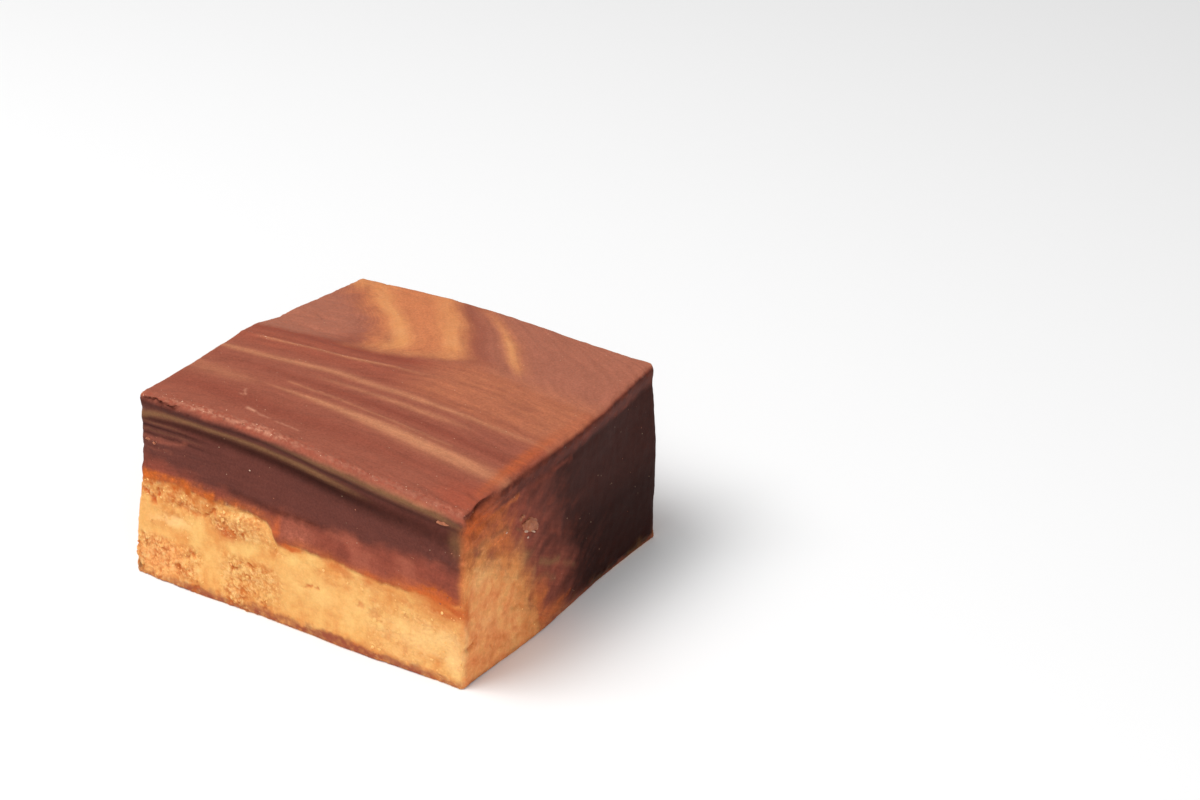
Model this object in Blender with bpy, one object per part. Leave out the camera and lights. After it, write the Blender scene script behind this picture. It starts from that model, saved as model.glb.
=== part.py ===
"""A hand-cut square of two-layer marbled fudge.

The golden peanut fudge was poured first, the chocolate fudge was spread over it, and the slab was cut with a
knife. Each layer is one solid. Both follow the same uneven outline, and they meet along one wavy surface that
keeps a hairline gap. Metres, +Z up, with the origin at the centre of the foot.

A place on the block is given as u and v, which run from 0 to 1 along +X and +Y, so the front is at v = 0.
"""

import math

import bmesh
import bpy

MM = 0.001

# Driving sizes of the block.
LENGTH = 50.0 * MM
DEPTH = 46.0 * MM
HEIGHT = 25.4 * MM

# The knife leaves no two corners alike. Each corner gives how far its foot and its top stray from the plain
# block: (x, y) at the foot and (x, y, z) at the top, in millimetres.
LEFT_FRONT = ((-1.3, -1.1), (-0.5, 0.3, 0.4))
RIGHT_FRONT = ((0.6, -0.3), (0.6, -0.1, -0.6))
RIGHT_BACK = ((0.0, -0.2), (-0.8, 0.0, 0.6))
LEFT_BACK = ((-0.1, 0.1), (0.4, 0.4, -0.1))
FOOT, TOP = 0, 1

# Edge radii.
TOP_EDGE_RADIUS = 0.8 * MM
FOOT_EDGE_RADIUS = 0.3 * MM
CORNER_RADIUS = 0.7 * MM

# The top face: a low dome, folds of the pour, and a ridge on the left side, which drops off behind its crest.
DOME_RISE = 1.1 * MM
DOME_FADE_TO_BACK = 0.6
FOLD_WAVE = 0.25 * MM
RIDGE_RISE = 1.4 * MM
RIDGE_CREST = 0.48
RIDGE_DROP = 0.13
RIDGE_DROP_SHARE = 0.6

# The cut sides: slow waves from the knife, the lip that it drags out along the front and right top edges, and
# the shallow groove under that lip.
KNIFE_WAVE = 0.18 * MM
LIP_STANDS_OUT = 0.45 * MM
LIP_MIDDLE = 1.0 * MM
GROOVE_DEPTH = 0.25 * MM
GROOVE_MIDDLE = 3.0 * MM
LIP_WIDTH = 0.8 * MM

# The seam between the layers: a shelf on the left with a hump at its end, and a lower stretch on the right.
SHELF_HEIGHT = 13.7 * MM
LOW_HEIGHT = 10.6 * MM
SHELF_END = (0.41, 0.46)
SHELF_SLANT = 0.12
HUMP_RISE = 0.7 * MM
HUMP_CENTRE = 0.35
HUMP_WIDTH = 0.06
SEAM_WAVE = 0.35 * MM

# A lump of the lower layer stands against the right side, and towards the back right corner the lower layer
# runs out in a wedge.
LUMP_RISE = 6.0 * MM
LUMP_FRONT = (0.0, 0.03)
LUMP_BACK = (0.11, 0.30)
LUMP_REACH = (0.93, 1.0)
WEDGE = (0.17, 0.46)
WEDGE_SLANT = 1.4
THINNEST_BASE = 1.1 * MM

# The hairline between the layers, measured square to the seam.
LAYER_GAP = 0.3 * MM
SLOPE_STEP = 0.01

# Divisions of each layer along X, Y and Z. Rows crowd towards the edges, where the surface turns.
DIVISIONS = (28, 24, 7)
CROWDING = 0.88
SMOOTH_ANGLE = math.radians(50.0)


def smoothstep(start, end, value):
    """0 before start, 1 after end, and a smooth rise between them."""
    share = min(1.0, max(0.0, (value - start) / (end - start)))
    return share * share * (3.0 - 2.0 * share)


def hill(centre, width, value):
    """A smooth hill of height 1 at centre, which fades over about one width to each side."""
    return math.exp(-(((value - centre) / width) ** 2))


def mix(low, high, share):
    """The value at this share of the way from low to high."""
    return low + (high - low) * share


def crowd(value):
    """Moves a division between -1 and 1 towards the nearer end."""
    return mix(value, math.sin(value * math.pi / 2.0), CROWDING)


def corner_stray(u, v, level, axis):
    """How far the four corners pull a point of the foot or the top along one axis."""
    left_front, right_front, right_back, left_back = (
        corner[level][axis] * MM for corner in (LEFT_FRONT, RIGHT_FRONT, RIGHT_BACK, LEFT_BACK)
    )
    return mix(mix(left_front, right_front, u), mix(left_back, right_back, u), v)


def ridge_height(u, v):
    """The ridge rises from the front to its crest, falls steeply behind it, and fades towards the right."""
    share = smoothstep(-0.2, RIDGE_CREST, v)
    if v > RIDGE_CREST:
        slow_fall = 1.0 - (v - RIDGE_CREST) / (1.0 - RIDGE_CREST)
        steep_fall = 1.0 - smoothstep(RIDGE_CREST, RIDGE_CREST + RIDGE_DROP, v)
        share = mix(slow_fall, steep_fall, RIDGE_DROP_SHARE)
    return RIDGE_RISE * share * (1.0 - u) ** 1.5


def top_height(u, v):
    """Height of the top face: level, then tilted by its corners, domed, ridged and waved by the folds."""
    dome = DOME_RISE * math.sin(math.pi * u) ** 0.8 * (1.0 - DOME_FADE_TO_BACK * v)
    folds = FOLD_WAVE * math.sin(9.0 * u + 4.0 * v) * smoothstep(0.3, 0.9, v)
    return HEIGHT + corner_stray(u, v, TOP, 2) + dome + folds + ridge_height(u, v)


def seam_height(u, v):
    """Height at which the peanut fudge ends and the chocolate starts."""
    on_shelf = 1.0 - smoothstep(*SHELF_END, u - SHELF_SLANT * v)
    hump = HUMP_RISE * hill(HUMP_CENTRE, HUMP_WIDTH, u) * (1.0 - v)
    waves = SEAM_WAVE * math.sin(17.0 * u + 5.0 * v) * math.cos(13.0 * v - 3.0 * u)
    lump = smoothstep(*LUMP_FRONT, v) * (1.0 - smoothstep(*LUMP_BACK, v)) * smoothstep(*LUMP_REACH, u)
    full = mix(LOW_HEIGHT, SHELF_HEIGHT, on_shelf) + hump + waves + LUMP_RISE * lump
    return mix(full, THINNEST_BASE, smoothstep(*WEDGE, v - WEDGE_SLANT * (1.0 - u)))


def seam_gap(u, v):
    """Upright distance between the layers. It grows where the seam is steep, to keep them evenly apart."""
    slope_x = (seam_height(u + SLOPE_STEP, v) - seam_height(u - SLOPE_STEP, v)) / (2.0 * SLOPE_STEP * LENGTH)
    slope_y = (seam_height(u, v + SLOPE_STEP) - seam_height(u, v - SLOPE_STEP)) / (2.0 * SLOPE_STEP * DEPTH)
    return LAYER_GAP * math.sqrt(1.0 + slope_x**2 + slope_y**2)


def round_corner(x, y):
    """Turns the plan's square corners to quarter circles."""
    straight_x = LENGTH / 2.0 - CORNER_RADIUS
    straight_y = DEPTH / 2.0 - CORNER_RADIUS
    past_x = max(0.0, abs(x) - straight_x)
    past_y = max(0.0, abs(y) - straight_y)
    if past_x == 0.0 or past_y == 0.0:
        return x, y
    share = max(past_x, past_y) / math.hypot(past_x, past_y)
    return math.copysign(straight_x + past_x * share, x), math.copysign(straight_y + past_y * share, y)


def round_edge(inset, drop, radius):
    """Turns a square edge to a quarter circle. inset and drop are the distances from its two faces."""
    if inset >= radius or drop >= radius:
        return inset, drop
    back, down = radius - inset, radius - drop
    share = max(back, down) / math.hypot(back, down)
    return radius - back * share, radius - down * share


def wall_offset(u, v, z, drop):
    """How far the cut side stands out at this height, which is a drop below the top face."""
    waves = math.sin(11.0 * u - 7.0 * v + 260.0 * z) + math.sin(5.0 * u + 9.0 * v - 120.0 * z)
    on_front = (1.0 - smoothstep(0.0, 0.12, v)) * smoothstep(0.0, 0.2, u)
    on_right = smoothstep(0.88, 1.0, u) * (1.0 - 0.7 * v)
    lip = LIP_STANDS_OUT * hill(LIP_MIDDLE, LIP_WIDTH, drop)
    groove = GROOVE_DEPTH * hill(GROOVE_MIDDLE, LIP_WIDTH, drop)
    return KNIFE_WAVE * waves + (lip - groove) * max(on_front, on_right)


def shaped(a, b, c, is_base):
    """Places one point of a divided cube, which runs from -1 to 1 along each axis, in the layer.

    c is 1 at the seam in both layers, so the chocolate layer is built upside down.
    """
    u, v = (a + 1.0) / 2.0, (b + 1.0) / 2.0
    x, y = a * LENGTH / 2.0, b * DEPTH / 2.0
    seam, top = seam_height(u, v), top_height(u, v)
    far_side, near_side = (0.0, seam) if is_base else (top, seam + seam_gap(u, v))
    z = mix(far_side, near_side, (c + 1.0) / 2.0)

    inset = min(LENGTH / 2.0 - abs(x), DEPTH / 2.0 - abs(y))
    if is_base:
        rounded_inset, z = round_edge(inset, z, FOOT_EDGE_RADIUS)
    else:
        rounded_inset, drop = round_edge(inset, top - z, TOP_EDGE_RADIUS)
        z = top - drop
    ring = max(abs(a), abs(b))
    scale = 1.0 if ring == 0.0 else 1.0 - (rounded_inset - inset) / (ring * LENGTH / 2.0)
    x, y = round_corner(x * scale, y * scale)

    outwards = 1.0 + wall_offset(u, v, z, top - z) * smoothstep(0.8, 1.0, ring) / (LENGTH / 2.0)
    x = x * outwards + mix(corner_stray(u, v, FOOT, 0), corner_stray(u, v, TOP, 0), z / HEIGHT)
    y = y * outwards + mix(corner_stray(u, v, FOOT, 1), corner_stray(u, v, TOP, 1), z / HEIGHT)
    return x, y, z


def divided_cube():
    """A cube from -1 to 1, cut into a grid.

    It is cut into triangles before it is shaped, so that both layers have the same ones at the seam.
    """
    mesh = bmesh.new()
    bmesh.ops.create_cube(mesh, size=2.0)
    for axis, cells in enumerate(DIVISIONS):
        along = [edge for edge in mesh.edges if edge.verts[0].co[axis] != edge.verts[1].co[axis]]
        bmesh.ops.subdivide_edges(mesh, edges=along, cuts=cells - 1, use_grid_fill=True)
    bmesh.ops.triangulate(mesh, faces=mesh.faces, quad_method="FIXED")
    return mesh


def plain_material(name, colour, roughness):
    """A Principled material with one colour."""
    material = bpy.data.materials.new(name)
    material.use_nodes = True
    shader = material.node_tree.nodes["Principled BSDF"]
    shader.inputs["Base Color"].default_value = (*colour, 1.0)
    shader.inputs["Roughness"].default_value = roughness
    shader.inputs["Metallic"].default_value = 0.0
    return material


def make_layer(name, is_base, material, collection):
    """One layer of the square: a divided cube, with each of its points moved to its place."""
    mesh = divided_cube()
    for vert in mesh.verts:
        a, b, c = (crowd(value) for value in vert.co)
        vert.co = shaped(a, b, c, is_base)
    if not is_base:
        bmesh.ops.reverse_faces(mesh, faces=mesh.faces)
    data = bpy.data.meshes.new(name)
    mesh.to_mesh(data)
    mesh.free()
    data.shade_smooth()
    data.set_sharp_from_angle(angle=SMOOTH_ANGLE)
    data.materials.append(material)
    layer = bpy.data.objects.new(name, data)
    collection.objects.link(layer)
    return layer


def centre_over_origin(layers):
    """Moves the layers together, so that the middle of the whole outline is over the origin."""
    places = [vert.co for layer in layers for vert in layer.data.vertices]
    middle_x = (min(place.x for place in places) + max(place.x for place in places)) / 2.0
    middle_y = (min(place.y for place in places) + max(place.y for place in places)) / 2.0
    for place in places:
        place.x -= middle_x
        place.y -= middle_y


def main():
    for old in list(bpy.data.objects):
        bpy.data.objects.remove(old)
    collection = bpy.data.collections.new("fudge_square")
    bpy.context.scene.collection.children.link(collection)
    peanut = plain_material("peanut_fudge", (0.80, 0.42, 0.12), 0.6)
    chocolate = plain_material("chocolate_fudge", (0.17, 0.055, 0.035), 0.45)
    base = make_layer("peanut_fudge_base", True, peanut, collection)
    cover = make_layer("chocolate_fudge_top", False, chocolate, collection)
    centre_over_origin([base, cover])


main()
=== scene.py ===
"""Dresses a hand-cut square of two-layer marbled fudge.

The golden peanut layer lies below and the chocolate layer above it. Both get a fine skin with the knife's
lip, the torn edges, the cracks and the crumbly places of the real thing. The marbling is laid out once
for the whole block, so that its streaks and smears run on over the edges and from one layer to the other.
Crumbs, sugar grains and torn lumps are separate meshes at true size.
"""

import logging
import math
from dataclasses import dataclass, field
from enum import Enum

import bmesh
import bpy
import numpy as np
from mathutils import Matrix, Vector, noise


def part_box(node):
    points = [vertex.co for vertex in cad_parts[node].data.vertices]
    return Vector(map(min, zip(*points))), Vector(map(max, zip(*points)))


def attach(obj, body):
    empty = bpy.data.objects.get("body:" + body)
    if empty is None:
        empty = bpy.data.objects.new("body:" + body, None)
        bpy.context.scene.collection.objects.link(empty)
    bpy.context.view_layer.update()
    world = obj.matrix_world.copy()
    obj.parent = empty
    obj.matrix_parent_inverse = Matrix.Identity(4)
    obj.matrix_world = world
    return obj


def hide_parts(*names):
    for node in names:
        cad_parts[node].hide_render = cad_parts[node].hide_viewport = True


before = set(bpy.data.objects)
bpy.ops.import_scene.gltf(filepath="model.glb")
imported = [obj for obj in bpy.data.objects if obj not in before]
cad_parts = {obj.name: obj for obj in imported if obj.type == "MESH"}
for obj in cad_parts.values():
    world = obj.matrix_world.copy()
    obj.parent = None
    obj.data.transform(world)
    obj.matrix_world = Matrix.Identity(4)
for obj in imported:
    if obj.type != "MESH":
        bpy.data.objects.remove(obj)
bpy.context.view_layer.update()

MM = 0.001
METRES_TO_MM = (1000.0, 1000.0, 1000.0)
SHARP_ON_SKIN = math.radians(65.0)
SHARP_ON_CRUMBS = math.radians(40.0)
LOWEST_CRUMB = 0.01 * MM
FLOOR_DROP = 0.02 * MM
OUT_OF_REACH = 1.0e6
SENSOR_WIDTH = 36.0

Array = np.ndarray
Pair = tuple[float, float]
Triple = tuple[float, float, float]
Line = tuple[Pair, ...]
Masks = dict[str, Array]

log = logging.getLogger("fudge")


class Layer(Enum):
    """The two layers, by the name of the CAD node that each stands for."""

    PEANUT = "peanut_fudge_base"
    CHOCOLATE = "chocolate_fudge_top"


class Side(Enum):
    """The four cut sides, each with the way it faces in plan."""

    FRONT = (0, -1)
    RIGHT = (1, 0)
    BACK = (0, 1)
    LEFT = (-1, 0)


# ----- Shapes of curves and noise -----


def smoothstep(start: float, end: float, value: Array) -> Array:
    """A smooth rise from 0 at start to 1 at end.

    Args:
        start: Value at which the rise starts.
        end: Value at which it ends; below start for a fall.
        value: Values to read the rise at.

    Returns:
        The height of the rise at each value.
    """
    share = np.clip((value - start) / (end - start), 0.0, 1.0)
    return share * share * (3.0 - 2.0 * share)


def fall(start: float, end: float, value: Array) -> Array:
    """A smooth fall from 1 at start to 0 at end."""
    return 1.0 - smoothstep(start, end, value)


def hill(centre: Array | float, width: Array | float, value: Array) -> Array:
    """A smooth hill of height 1.

    Args:
        centre: Where the hill is.
        width: How far from its centre it has fallen to about a third.
        value: Values to read the hill at.

    Returns:
        The height of the hill at each value.
    """
    return np.exp(-(((value - centre) / width) ** 2))


def between(start: float, end: float, soft: float, value: Array) -> Array:
    """A plateau of height 1 between two ends.

    Args:
        start: Where the plateau starts.
        end: Where it ends.
        soft: Width of the rise and of the fall, centred on the ends.
        value: Values to read the plateau at.

    Returns:
        The height of the plateau at each value.
    """
    rise = smoothstep(start - soft / 2.0, start + soft / 2.0, value)
    return rise * fall(end - soft / 2.0, end + soft / 2.0, value)


def mix(low: Array | float, high: Array | float, share: Array | float) -> Array | float:
    """The value at this share of the way from low to high."""
    return low + (high - low) * share


def soft_line(points: Line, value: Array) -> Array:
    """A smooth line through a few points, level at both ends and past them.

    Args:
        points: Places and heights, in rising order of place.
        value: Places to read the line at.

    Returns:
        The height of the line at each place.
    """
    at = np.array([point[0] for point in points])
    height = np.array([point[1] for point in points])
    slope = np.zeros(len(points))
    slope[1:-1] = (height[2:] - height[:-2]) / (at[2:] - at[:-2])
    value = np.clip(value, at[0], at[-1])
    span = np.clip(np.searchsorted(at, value, side="right") - 1, 0, len(points) - 2)
    width = at[span + 1] - at[span]
    t = (value - at[span]) / width
    rise = 3.0 * t**2 - 2.0 * t**3
    start = slope[span] * width * (t - 2.0 * t**2 + t**3)
    end = slope[span + 1] * width * (t**3 - t**2)
    return mix(height[span], height[span + 1], rise) + start + end


def flat_places(along: Array, across: Array, depth: float = 0.0) -> Array:
    """Places on a flat face, one on each row, for reading noise at."""
    return np.stack([along, across, 0.0 * along + depth], axis=1)


def clouds(places: Array, width: float, octaves: int = 3, seed: float = 0.0) -> Array:
    """Fractal noise, about -1 to 1.

    Args:
        places: One place on each row.
        width: Width of the largest clouds, in the places' units.
        octaves: How many finer sizes are added.
        seed: Moves to another part of the noise.

    Returns:
        The noise at each place.
    """
    moved = places / width + np.array([seed, 1.7 * seed, 2.3 * seed])
    return np.array([noise.fractal(Vector(place), 1.0, 2.0, octaves) for place in moved])


def pebbles(places: Array, width: float, seed: float = 0.0) -> tuple[Array, Array]:
    """A packing of rounded lumps.

    Args:
        places: One place on each row.
        width: Width of a lump, in the places' units.
        seed: Moves to another part of the packing.

    Returns:
        How near each place is to its lump's middle, 1 at the middle, and how near it is to the joint between
        two lumps, 0 at the joint.
    """
    moved = places / width + np.array([seed, 1.3 * seed, 0.7 * seed])
    reach = np.array([noise.voronoi(Vector(place))[0][:2] for place in moved])
    return 1.0 - reach[:, 0], reach[:, 1] - reach[:, 0]


def add_to_scene(name: str, data: bpy.types.ID) -> bpy.types.Object:
    """Makes an object of a mesh, light or camera and links it to the scene."""
    made = bpy.data.objects.new(name, data)
    bpy.context.scene.collection.objects.link(made)
    return made


# ----- The block: its outline, its seam and the places on it -----


@dataclass(frozen=True)
class Corner:
    """How far one corner strays in millimetres: its foot along x and y, its top along x, y and z."""

    foot: Pair
    top: Triple


@dataclass(frozen=True)
class Block:
    """The uneven outline and the seam, as in the CAD: lengths in metres, shares from 0 to 1."""

    length: float = 50.0 * MM
    depth: float = 46.0 * MM
    height: float = 25.4 * MM
    left_front: Corner = Corner((-1.3, -1.1), (-0.5, 0.3, 0.4))
    right_front: Corner = Corner((0.6, -0.3), (0.6, -0.1, -0.6))
    right_back: Corner = Corner((0.0, -0.2), (-0.8, 0.0, 0.6))
    left_back: Corner = Corner((-0.1, 0.1), (0.4, 0.4, -0.1))
    top_edge_radius: float = 0.8 * MM
    foot_edge_radius: float = 0.3 * MM
    corner_radius: float = 0.7 * MM
    dome_rise: float = 1.1 * MM
    dome_fade_to_back: float = 0.6
    fold_wave: float = 0.25 * MM
    ridge_rise: float = 1.4 * MM
    ridge_crest: float = 0.48
    ridge_drop: float = 0.13
    ridge_drop_share: float = 0.6
    knife_wave: float = 0.18 * MM
    lip_stands_out: float = 0.45 * MM
    lip_middle: float = 1.0 * MM
    lip_width: float = 0.8 * MM
    groove_depth: float = 0.25 * MM
    groove_middle: float = 3.0 * MM
    shelf_height: float = 13.7 * MM
    low_height: float = 10.6 * MM
    shelf_end: Pair = (0.41, 0.46)
    shelf_slant: float = 0.12
    hump_rise: float = 0.7 * MM
    hump_centre: float = 0.35
    hump_width: float = 0.06
    seam_wave: float = 0.35 * MM
    lump_rise: float = 6.0 * MM
    lump_front: Pair = (0.0, 0.03)
    lump_back: Pair = (0.11, 0.30)
    lump_reach: Pair = (0.93, 1.0)
    wedge: Pair = (0.17, 0.46)
    wedge_slant: float = 1.4
    thinnest_base: float = 1.1 * MM

    def stray(self, u: Array, v: Array, level: str, axis: int) -> Array:
        """How far the corners pull each place.

        Args:
            u: Share across the length.
            v: Share across the depth.
            level: "foot" or "top".
            axis: 0, 1 or 2 for x, y or z.

        Returns:
            The pull along that axis, in metres.
        """
        corners = (self.left_front, self.right_front, self.right_back, self.left_back)
        a, b, c, d = (getattr(corner, level)[axis] * MM for corner in corners)
        return mix(mix(a, b, u), mix(d, c, u), v)

    def top_height(self, u: Array, v: Array) -> Array:
        """Height of the top face at each share across the length and the depth."""
        bulge = np.sin(math.pi * np.clip(u, 0.0, 1.0)) ** 0.8
        dome = self.dome_rise * bulge * (1.0 - self.dome_fade_to_back * v)
        folds = self.fold_wave * np.sin(9.0 * u + 4.0 * v) * smoothstep(0.3, 0.9, v)
        slow = 1.0 - (v - self.ridge_crest) / (1.0 - self.ridge_crest)
        steep = fall(self.ridge_crest, self.ridge_crest + self.ridge_drop, v)
        behind = mix(slow, steep, self.ridge_drop_share)
        share = np.where(v > self.ridge_crest, behind, smoothstep(-0.2, self.ridge_crest, v))
        ridge = self.ridge_rise * share * (1.0 - u) ** 1.5
        return self.height + self.stray(u, v, "top", 2) + dome + folds + ridge

    def seam_height(self, u: Array, v: Array) -> Array:
        """Height of the seam between the layers at each share across the length and the depth."""
        on_shelf = fall(*self.shelf_end, u - self.shelf_slant * v)
        hump = self.hump_rise * hill(self.hump_centre, self.hump_width, u) * (1.0 - v)
        waves = self.seam_wave * np.sin(17.0 * u + 5.0 * v) * np.cos(13.0 * v - 3.0 * u)
        lump = smoothstep(*self.lump_front, v) * fall(*self.lump_back, v)
        lump = lump * smoothstep(*self.lump_reach, u)
        full = mix(self.low_height, self.shelf_height, on_shelf) + hump + waves + self.lump_rise * lump
        return mix(full, self.thinnest_base, smoothstep(*self.wedge, v - self.wedge_slant * (1.0 - u)))

    def rounded_plan(self, x: Array, y: Array) -> tuple[Array, Array]:
        """Turns the plan's square corners to quarter circles.

        Args:
            x: Places along the length, from the middle.
            y: Places along the depth, from the middle.

        Returns:
            The moved x and y.
        """
        straight = (self.length / 2.0 - self.corner_radius, self.depth / 2.0 - self.corner_radius)
        past_x = np.maximum(0.0, np.abs(x) - straight[0])
        past_y = np.maximum(0.0, np.abs(y) - straight[1])
        in_corner = (past_x > 0.0) & (past_y > 0.0)
        share = np.maximum(past_x, past_y) / np.maximum(np.hypot(past_x, past_y), 1.0e-12)
        round_x = np.sign(x) * (straight[0] + past_x * share)
        round_y = np.sign(y) * (straight[1] + past_y * share)
        return np.where(in_corner, round_x, x), np.where(in_corner, round_y, y)

    @staticmethod
    def rounded_edge(inset: Array, drop: Array, radius: float) -> tuple[Array, Array]:
        """Turns a square edge to a quarter circle.

        Args:
            inset: Distance from the edge's upright face.
            drop: Distance from its level face.
            radius: Radius of the quarter circle.

        Returns:
            The moved inset and drop.
        """
        back, down = radius - inset, radius - drop
        share = np.maximum(back, down) / np.maximum(np.hypot(back, down), 1.0e-12)
        near = (back > 0.0) & (down > 0.0)
        return np.where(near, radius - back * share, inset), np.where(near, radius - down * share, drop)

    def wall_offset(self, u: Array, v: Array, z: Array, drop: Array) -> Array:
        """How far the cut side stands out: the knife's waves, its lip and the groove under the lip.

        Args:
            u: Share across the length.
            v: Share across the depth.
            z: Height.
            drop: Distance below the top face.

        Returns:
            The offset in metres.
        """
        waves = np.sin(11.0 * u - 7.0 * v + 260.0 * z) + np.sin(5.0 * u + 9.0 * v - 120.0 * z)
        on_front = fall(0.0, 0.12, v) * smoothstep(0.0, 0.2, u)
        on_right = smoothstep(0.88, 1.0, u) * (1.0 - 0.7 * v)
        lip = self.lip_stands_out * hill(self.lip_middle, self.lip_width, drop)
        groove = self.groove_depth * hill(self.groove_middle, self.lip_width, drop)
        return self.knife_wave * waves + (lip - groove) * np.maximum(on_front, on_right)

    def place(self, cube: Array, seam_change: Array, layer: Layer) -> Array:
        """Places the points of a divided cube, which runs from -1 to 1, in one layer of the block.

        Args:
            cube: One point on each row. Its last number is 1 at the seam in both layers.
            seam_change: What is added to the height of the seam at each point.
            layer: The layer to fill.

        Returns:
            The places in metres, one on each row.
        """
        a, b, c = cube.T
        u, v = (a + 1.0) / 2.0, (b + 1.0) / 2.0
        x, y = a * self.length / 2.0, b * self.depth / 2.0
        top = self.top_height(u, v)
        seam = self.seam_height(u, v) + seam_change
        z = mix(0.0 if layer is Layer.PEANUT else top, seam, (c + 1.0) / 2.0)
        inset = np.minimum(self.length / 2.0 - np.abs(x), self.depth / 2.0 - np.abs(y))
        if layer is Layer.PEANUT:
            rounded_inset, z = self.rounded_edge(inset, z, self.foot_edge_radius)
        else:
            rounded_inset, drop = self.rounded_edge(inset, top - z, self.top_edge_radius)
            z = top - drop
        ring = np.maximum(np.maximum(np.abs(a), np.abs(b)), 1.0e-9)
        scale = 1.0 - (rounded_inset - inset) / (ring * self.length / 2.0)
        x, y = self.rounded_plan(x * scale, y * scale)
        outwards = self.wall_offset(u, v, z, top - z) * smoothstep(0.8, 1.0, ring)
        scale = 1.0 + outwards / (self.length / 2.0)
        share = z / self.height
        x = x * scale + mix(self.stray(u, v, "foot", 0), self.stray(u, v, "top", 0), share)
        y = y * scale + mix(self.stray(u, v, "foot", 1), self.stray(u, v, "top", 1), share)
        return np.stack([x, y, z], axis=1)


@dataclass
class Skin:
    """The points of one layer's mesh, with what the marbling and the relief need to know of each.

    Attributes:
        cube: Each point in the divided cube.
        places: Each point in the block, in metres.
        x: Millimetres from the left side.
        y: Millimetres from the front side.
        level: Height in millimetres, in a block whose top is level.
        outward: Unit direction out of the nearest side, level.
        on_top: 1 on the top face, 0 elsewhere.
        on_wall: 1 on the cut sides, 0 elsewhere.
        sides: Share of each side at each point; on the walls they add up to 1.
    """

    layer: Layer
    cube: Array
    places: Array
    block: Block
    x: Array = field(init=False)
    y: Array = field(init=False)
    level: Array = field(init=False)
    outward: Array = field(init=False)
    on_top: Array = field(init=False)
    on_wall: Array = field(init=False)
    sides: dict[Side, Array] = field(init=False)

    def __post_init__(self) -> None:
        """Works out the fields that follow from the places."""
        a, b, c = self.cube.T
        u, v = (a + 1.0) / 2.0, (b + 1.0) / 2.0
        top = self.block.top_height(u, v)
        self.x = u * self.block.length / MM
        self.y = v * self.block.depth / MM
        self.level = self.places[:, 2] / top * self.block.height / MM
        push = np.stack([np.sign(a) * np.abs(a) ** 40, np.sign(b) * np.abs(b) ** 40, 0.0 * a], axis=1)
        self.outward = push / np.maximum(np.linalg.norm(push, axis=1, keepdims=True), 1.0e-9)
        ring = np.maximum(np.abs(a), np.abs(b))
        self.on_wall = smoothstep(0.97, 1.0, ring)
        if self.layer is Layer.CHOCOLATE:
            drop = (top - self.places[:, 2]) / MM
            self.on_top = fall(0.15, 0.55, drop)
        else:
            self.on_top = 0.0 * a
        self.sides = {}
        for side in Side:
            facing = self.outward[:, 0] * side.value[0] + self.outward[:, 1] * side.value[1]
            self.sides[side] = np.maximum(0.0, facing) ** 2

    def along(self, side: Side) -> Array:
        """Millimetres along a side: from the left on the front and back, from the front on the others."""
        return self.x if side in (Side.FRONT, Side.BACK) else self.y


# ----- The marbling: where each colour of fudge lies -----

MASKS = ("gold", "amber", "rust", "ember", "tan", "dark", "top_skin_and_sheen", "mauve_and_sheen", "blush", "stain", "pale", "shaded_pit",
         "smear", "crumbly", "crevice_shade")


def raise_mask(masks: Masks, name: str, value: Array) -> None:
    """Raises one mask wherever the value is higher."""
    masks[name] = np.maximum(masks[name], value)


@dataclass(frozen=True)
class Streak:
    """One streak of lighter or darker fudge, in millimetres: its middle, half width and strength along it."""

    path: Line
    width: Line
    strength: Line

    def mask(self, along: Array, across: Array) -> Array:
        """How much of the streak lies at each place.

        Args:
            along: Places along the streak.
            across: Places across it.

        Returns:
            A mask from 0 to 1.
        """
        middle = soft_line(self.path, along)
        return hill(middle, soft_line(self.width, along), across) * soft_line(self.strength, along)


@dataclass(frozen=True)
class Stain:
    """An oval patch of another colour, in millimetres along and across the face.

    Attributes:
        size: Its half width and half height.
        tilt: How far its long side is turned, in degrees.
        height: How far it stands out; below 0 it is sunk.
    """

    middle: Pair
    size: Pair
    mask: str
    strength: float = 1.0
    tilt: float = 0.0
    height: float = 0.0

    def cover(self, along: Array, across: Array) -> Array:
        """How much of the patch lies at each place, from 0 to 1."""
        turn = math.radians(self.tilt)
        near, far = along - self.middle[0], across - self.middle[1]
        wide = (near * math.cos(turn) + far * math.sin(turn)) / self.size[0]
        high = (far * math.cos(turn) - near * math.sin(turn)) / self.size[1]
        return np.exp(-((wide**2 + high**2) ** 1.4))


@dataclass(frozen=True)
class Crease:
    """A crack, a crevice or a raised line along a path, in millimetres along and across the face.

    Attributes:
        width: Its half width.
        height: How far it stands out; below 0 it is sunk.
    """

    path: Line
    width: float
    height: float
    # By default the line is coloured as painted shade in a pit, a darker orange.
    mask: str = "shaded_pit"
    strength: float = 0.9

    def cover(self, along: Array, across: Array) -> Array:
        """How much of the line lies at each place, from 0 to 1."""
        nearest = np.full(len(along), 1.0e9)
        for start, end in zip(self.path[:-1], self.path[1:]):
            run, rise = end[0] - start[0], end[1] - start[1]
            share = ((along - start[0]) * run + (across - start[1]) * rise) / (run**2 + rise**2)
            share = np.clip(share, 0.0, 1.0)
            away = np.hypot(along - start[0] - share * run, across - start[1] - share * rise)
            nearest = np.minimum(nearest, away)
        return np.exp(-((nearest / self.width) ** 2))


Mark = Stain | Crease

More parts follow.
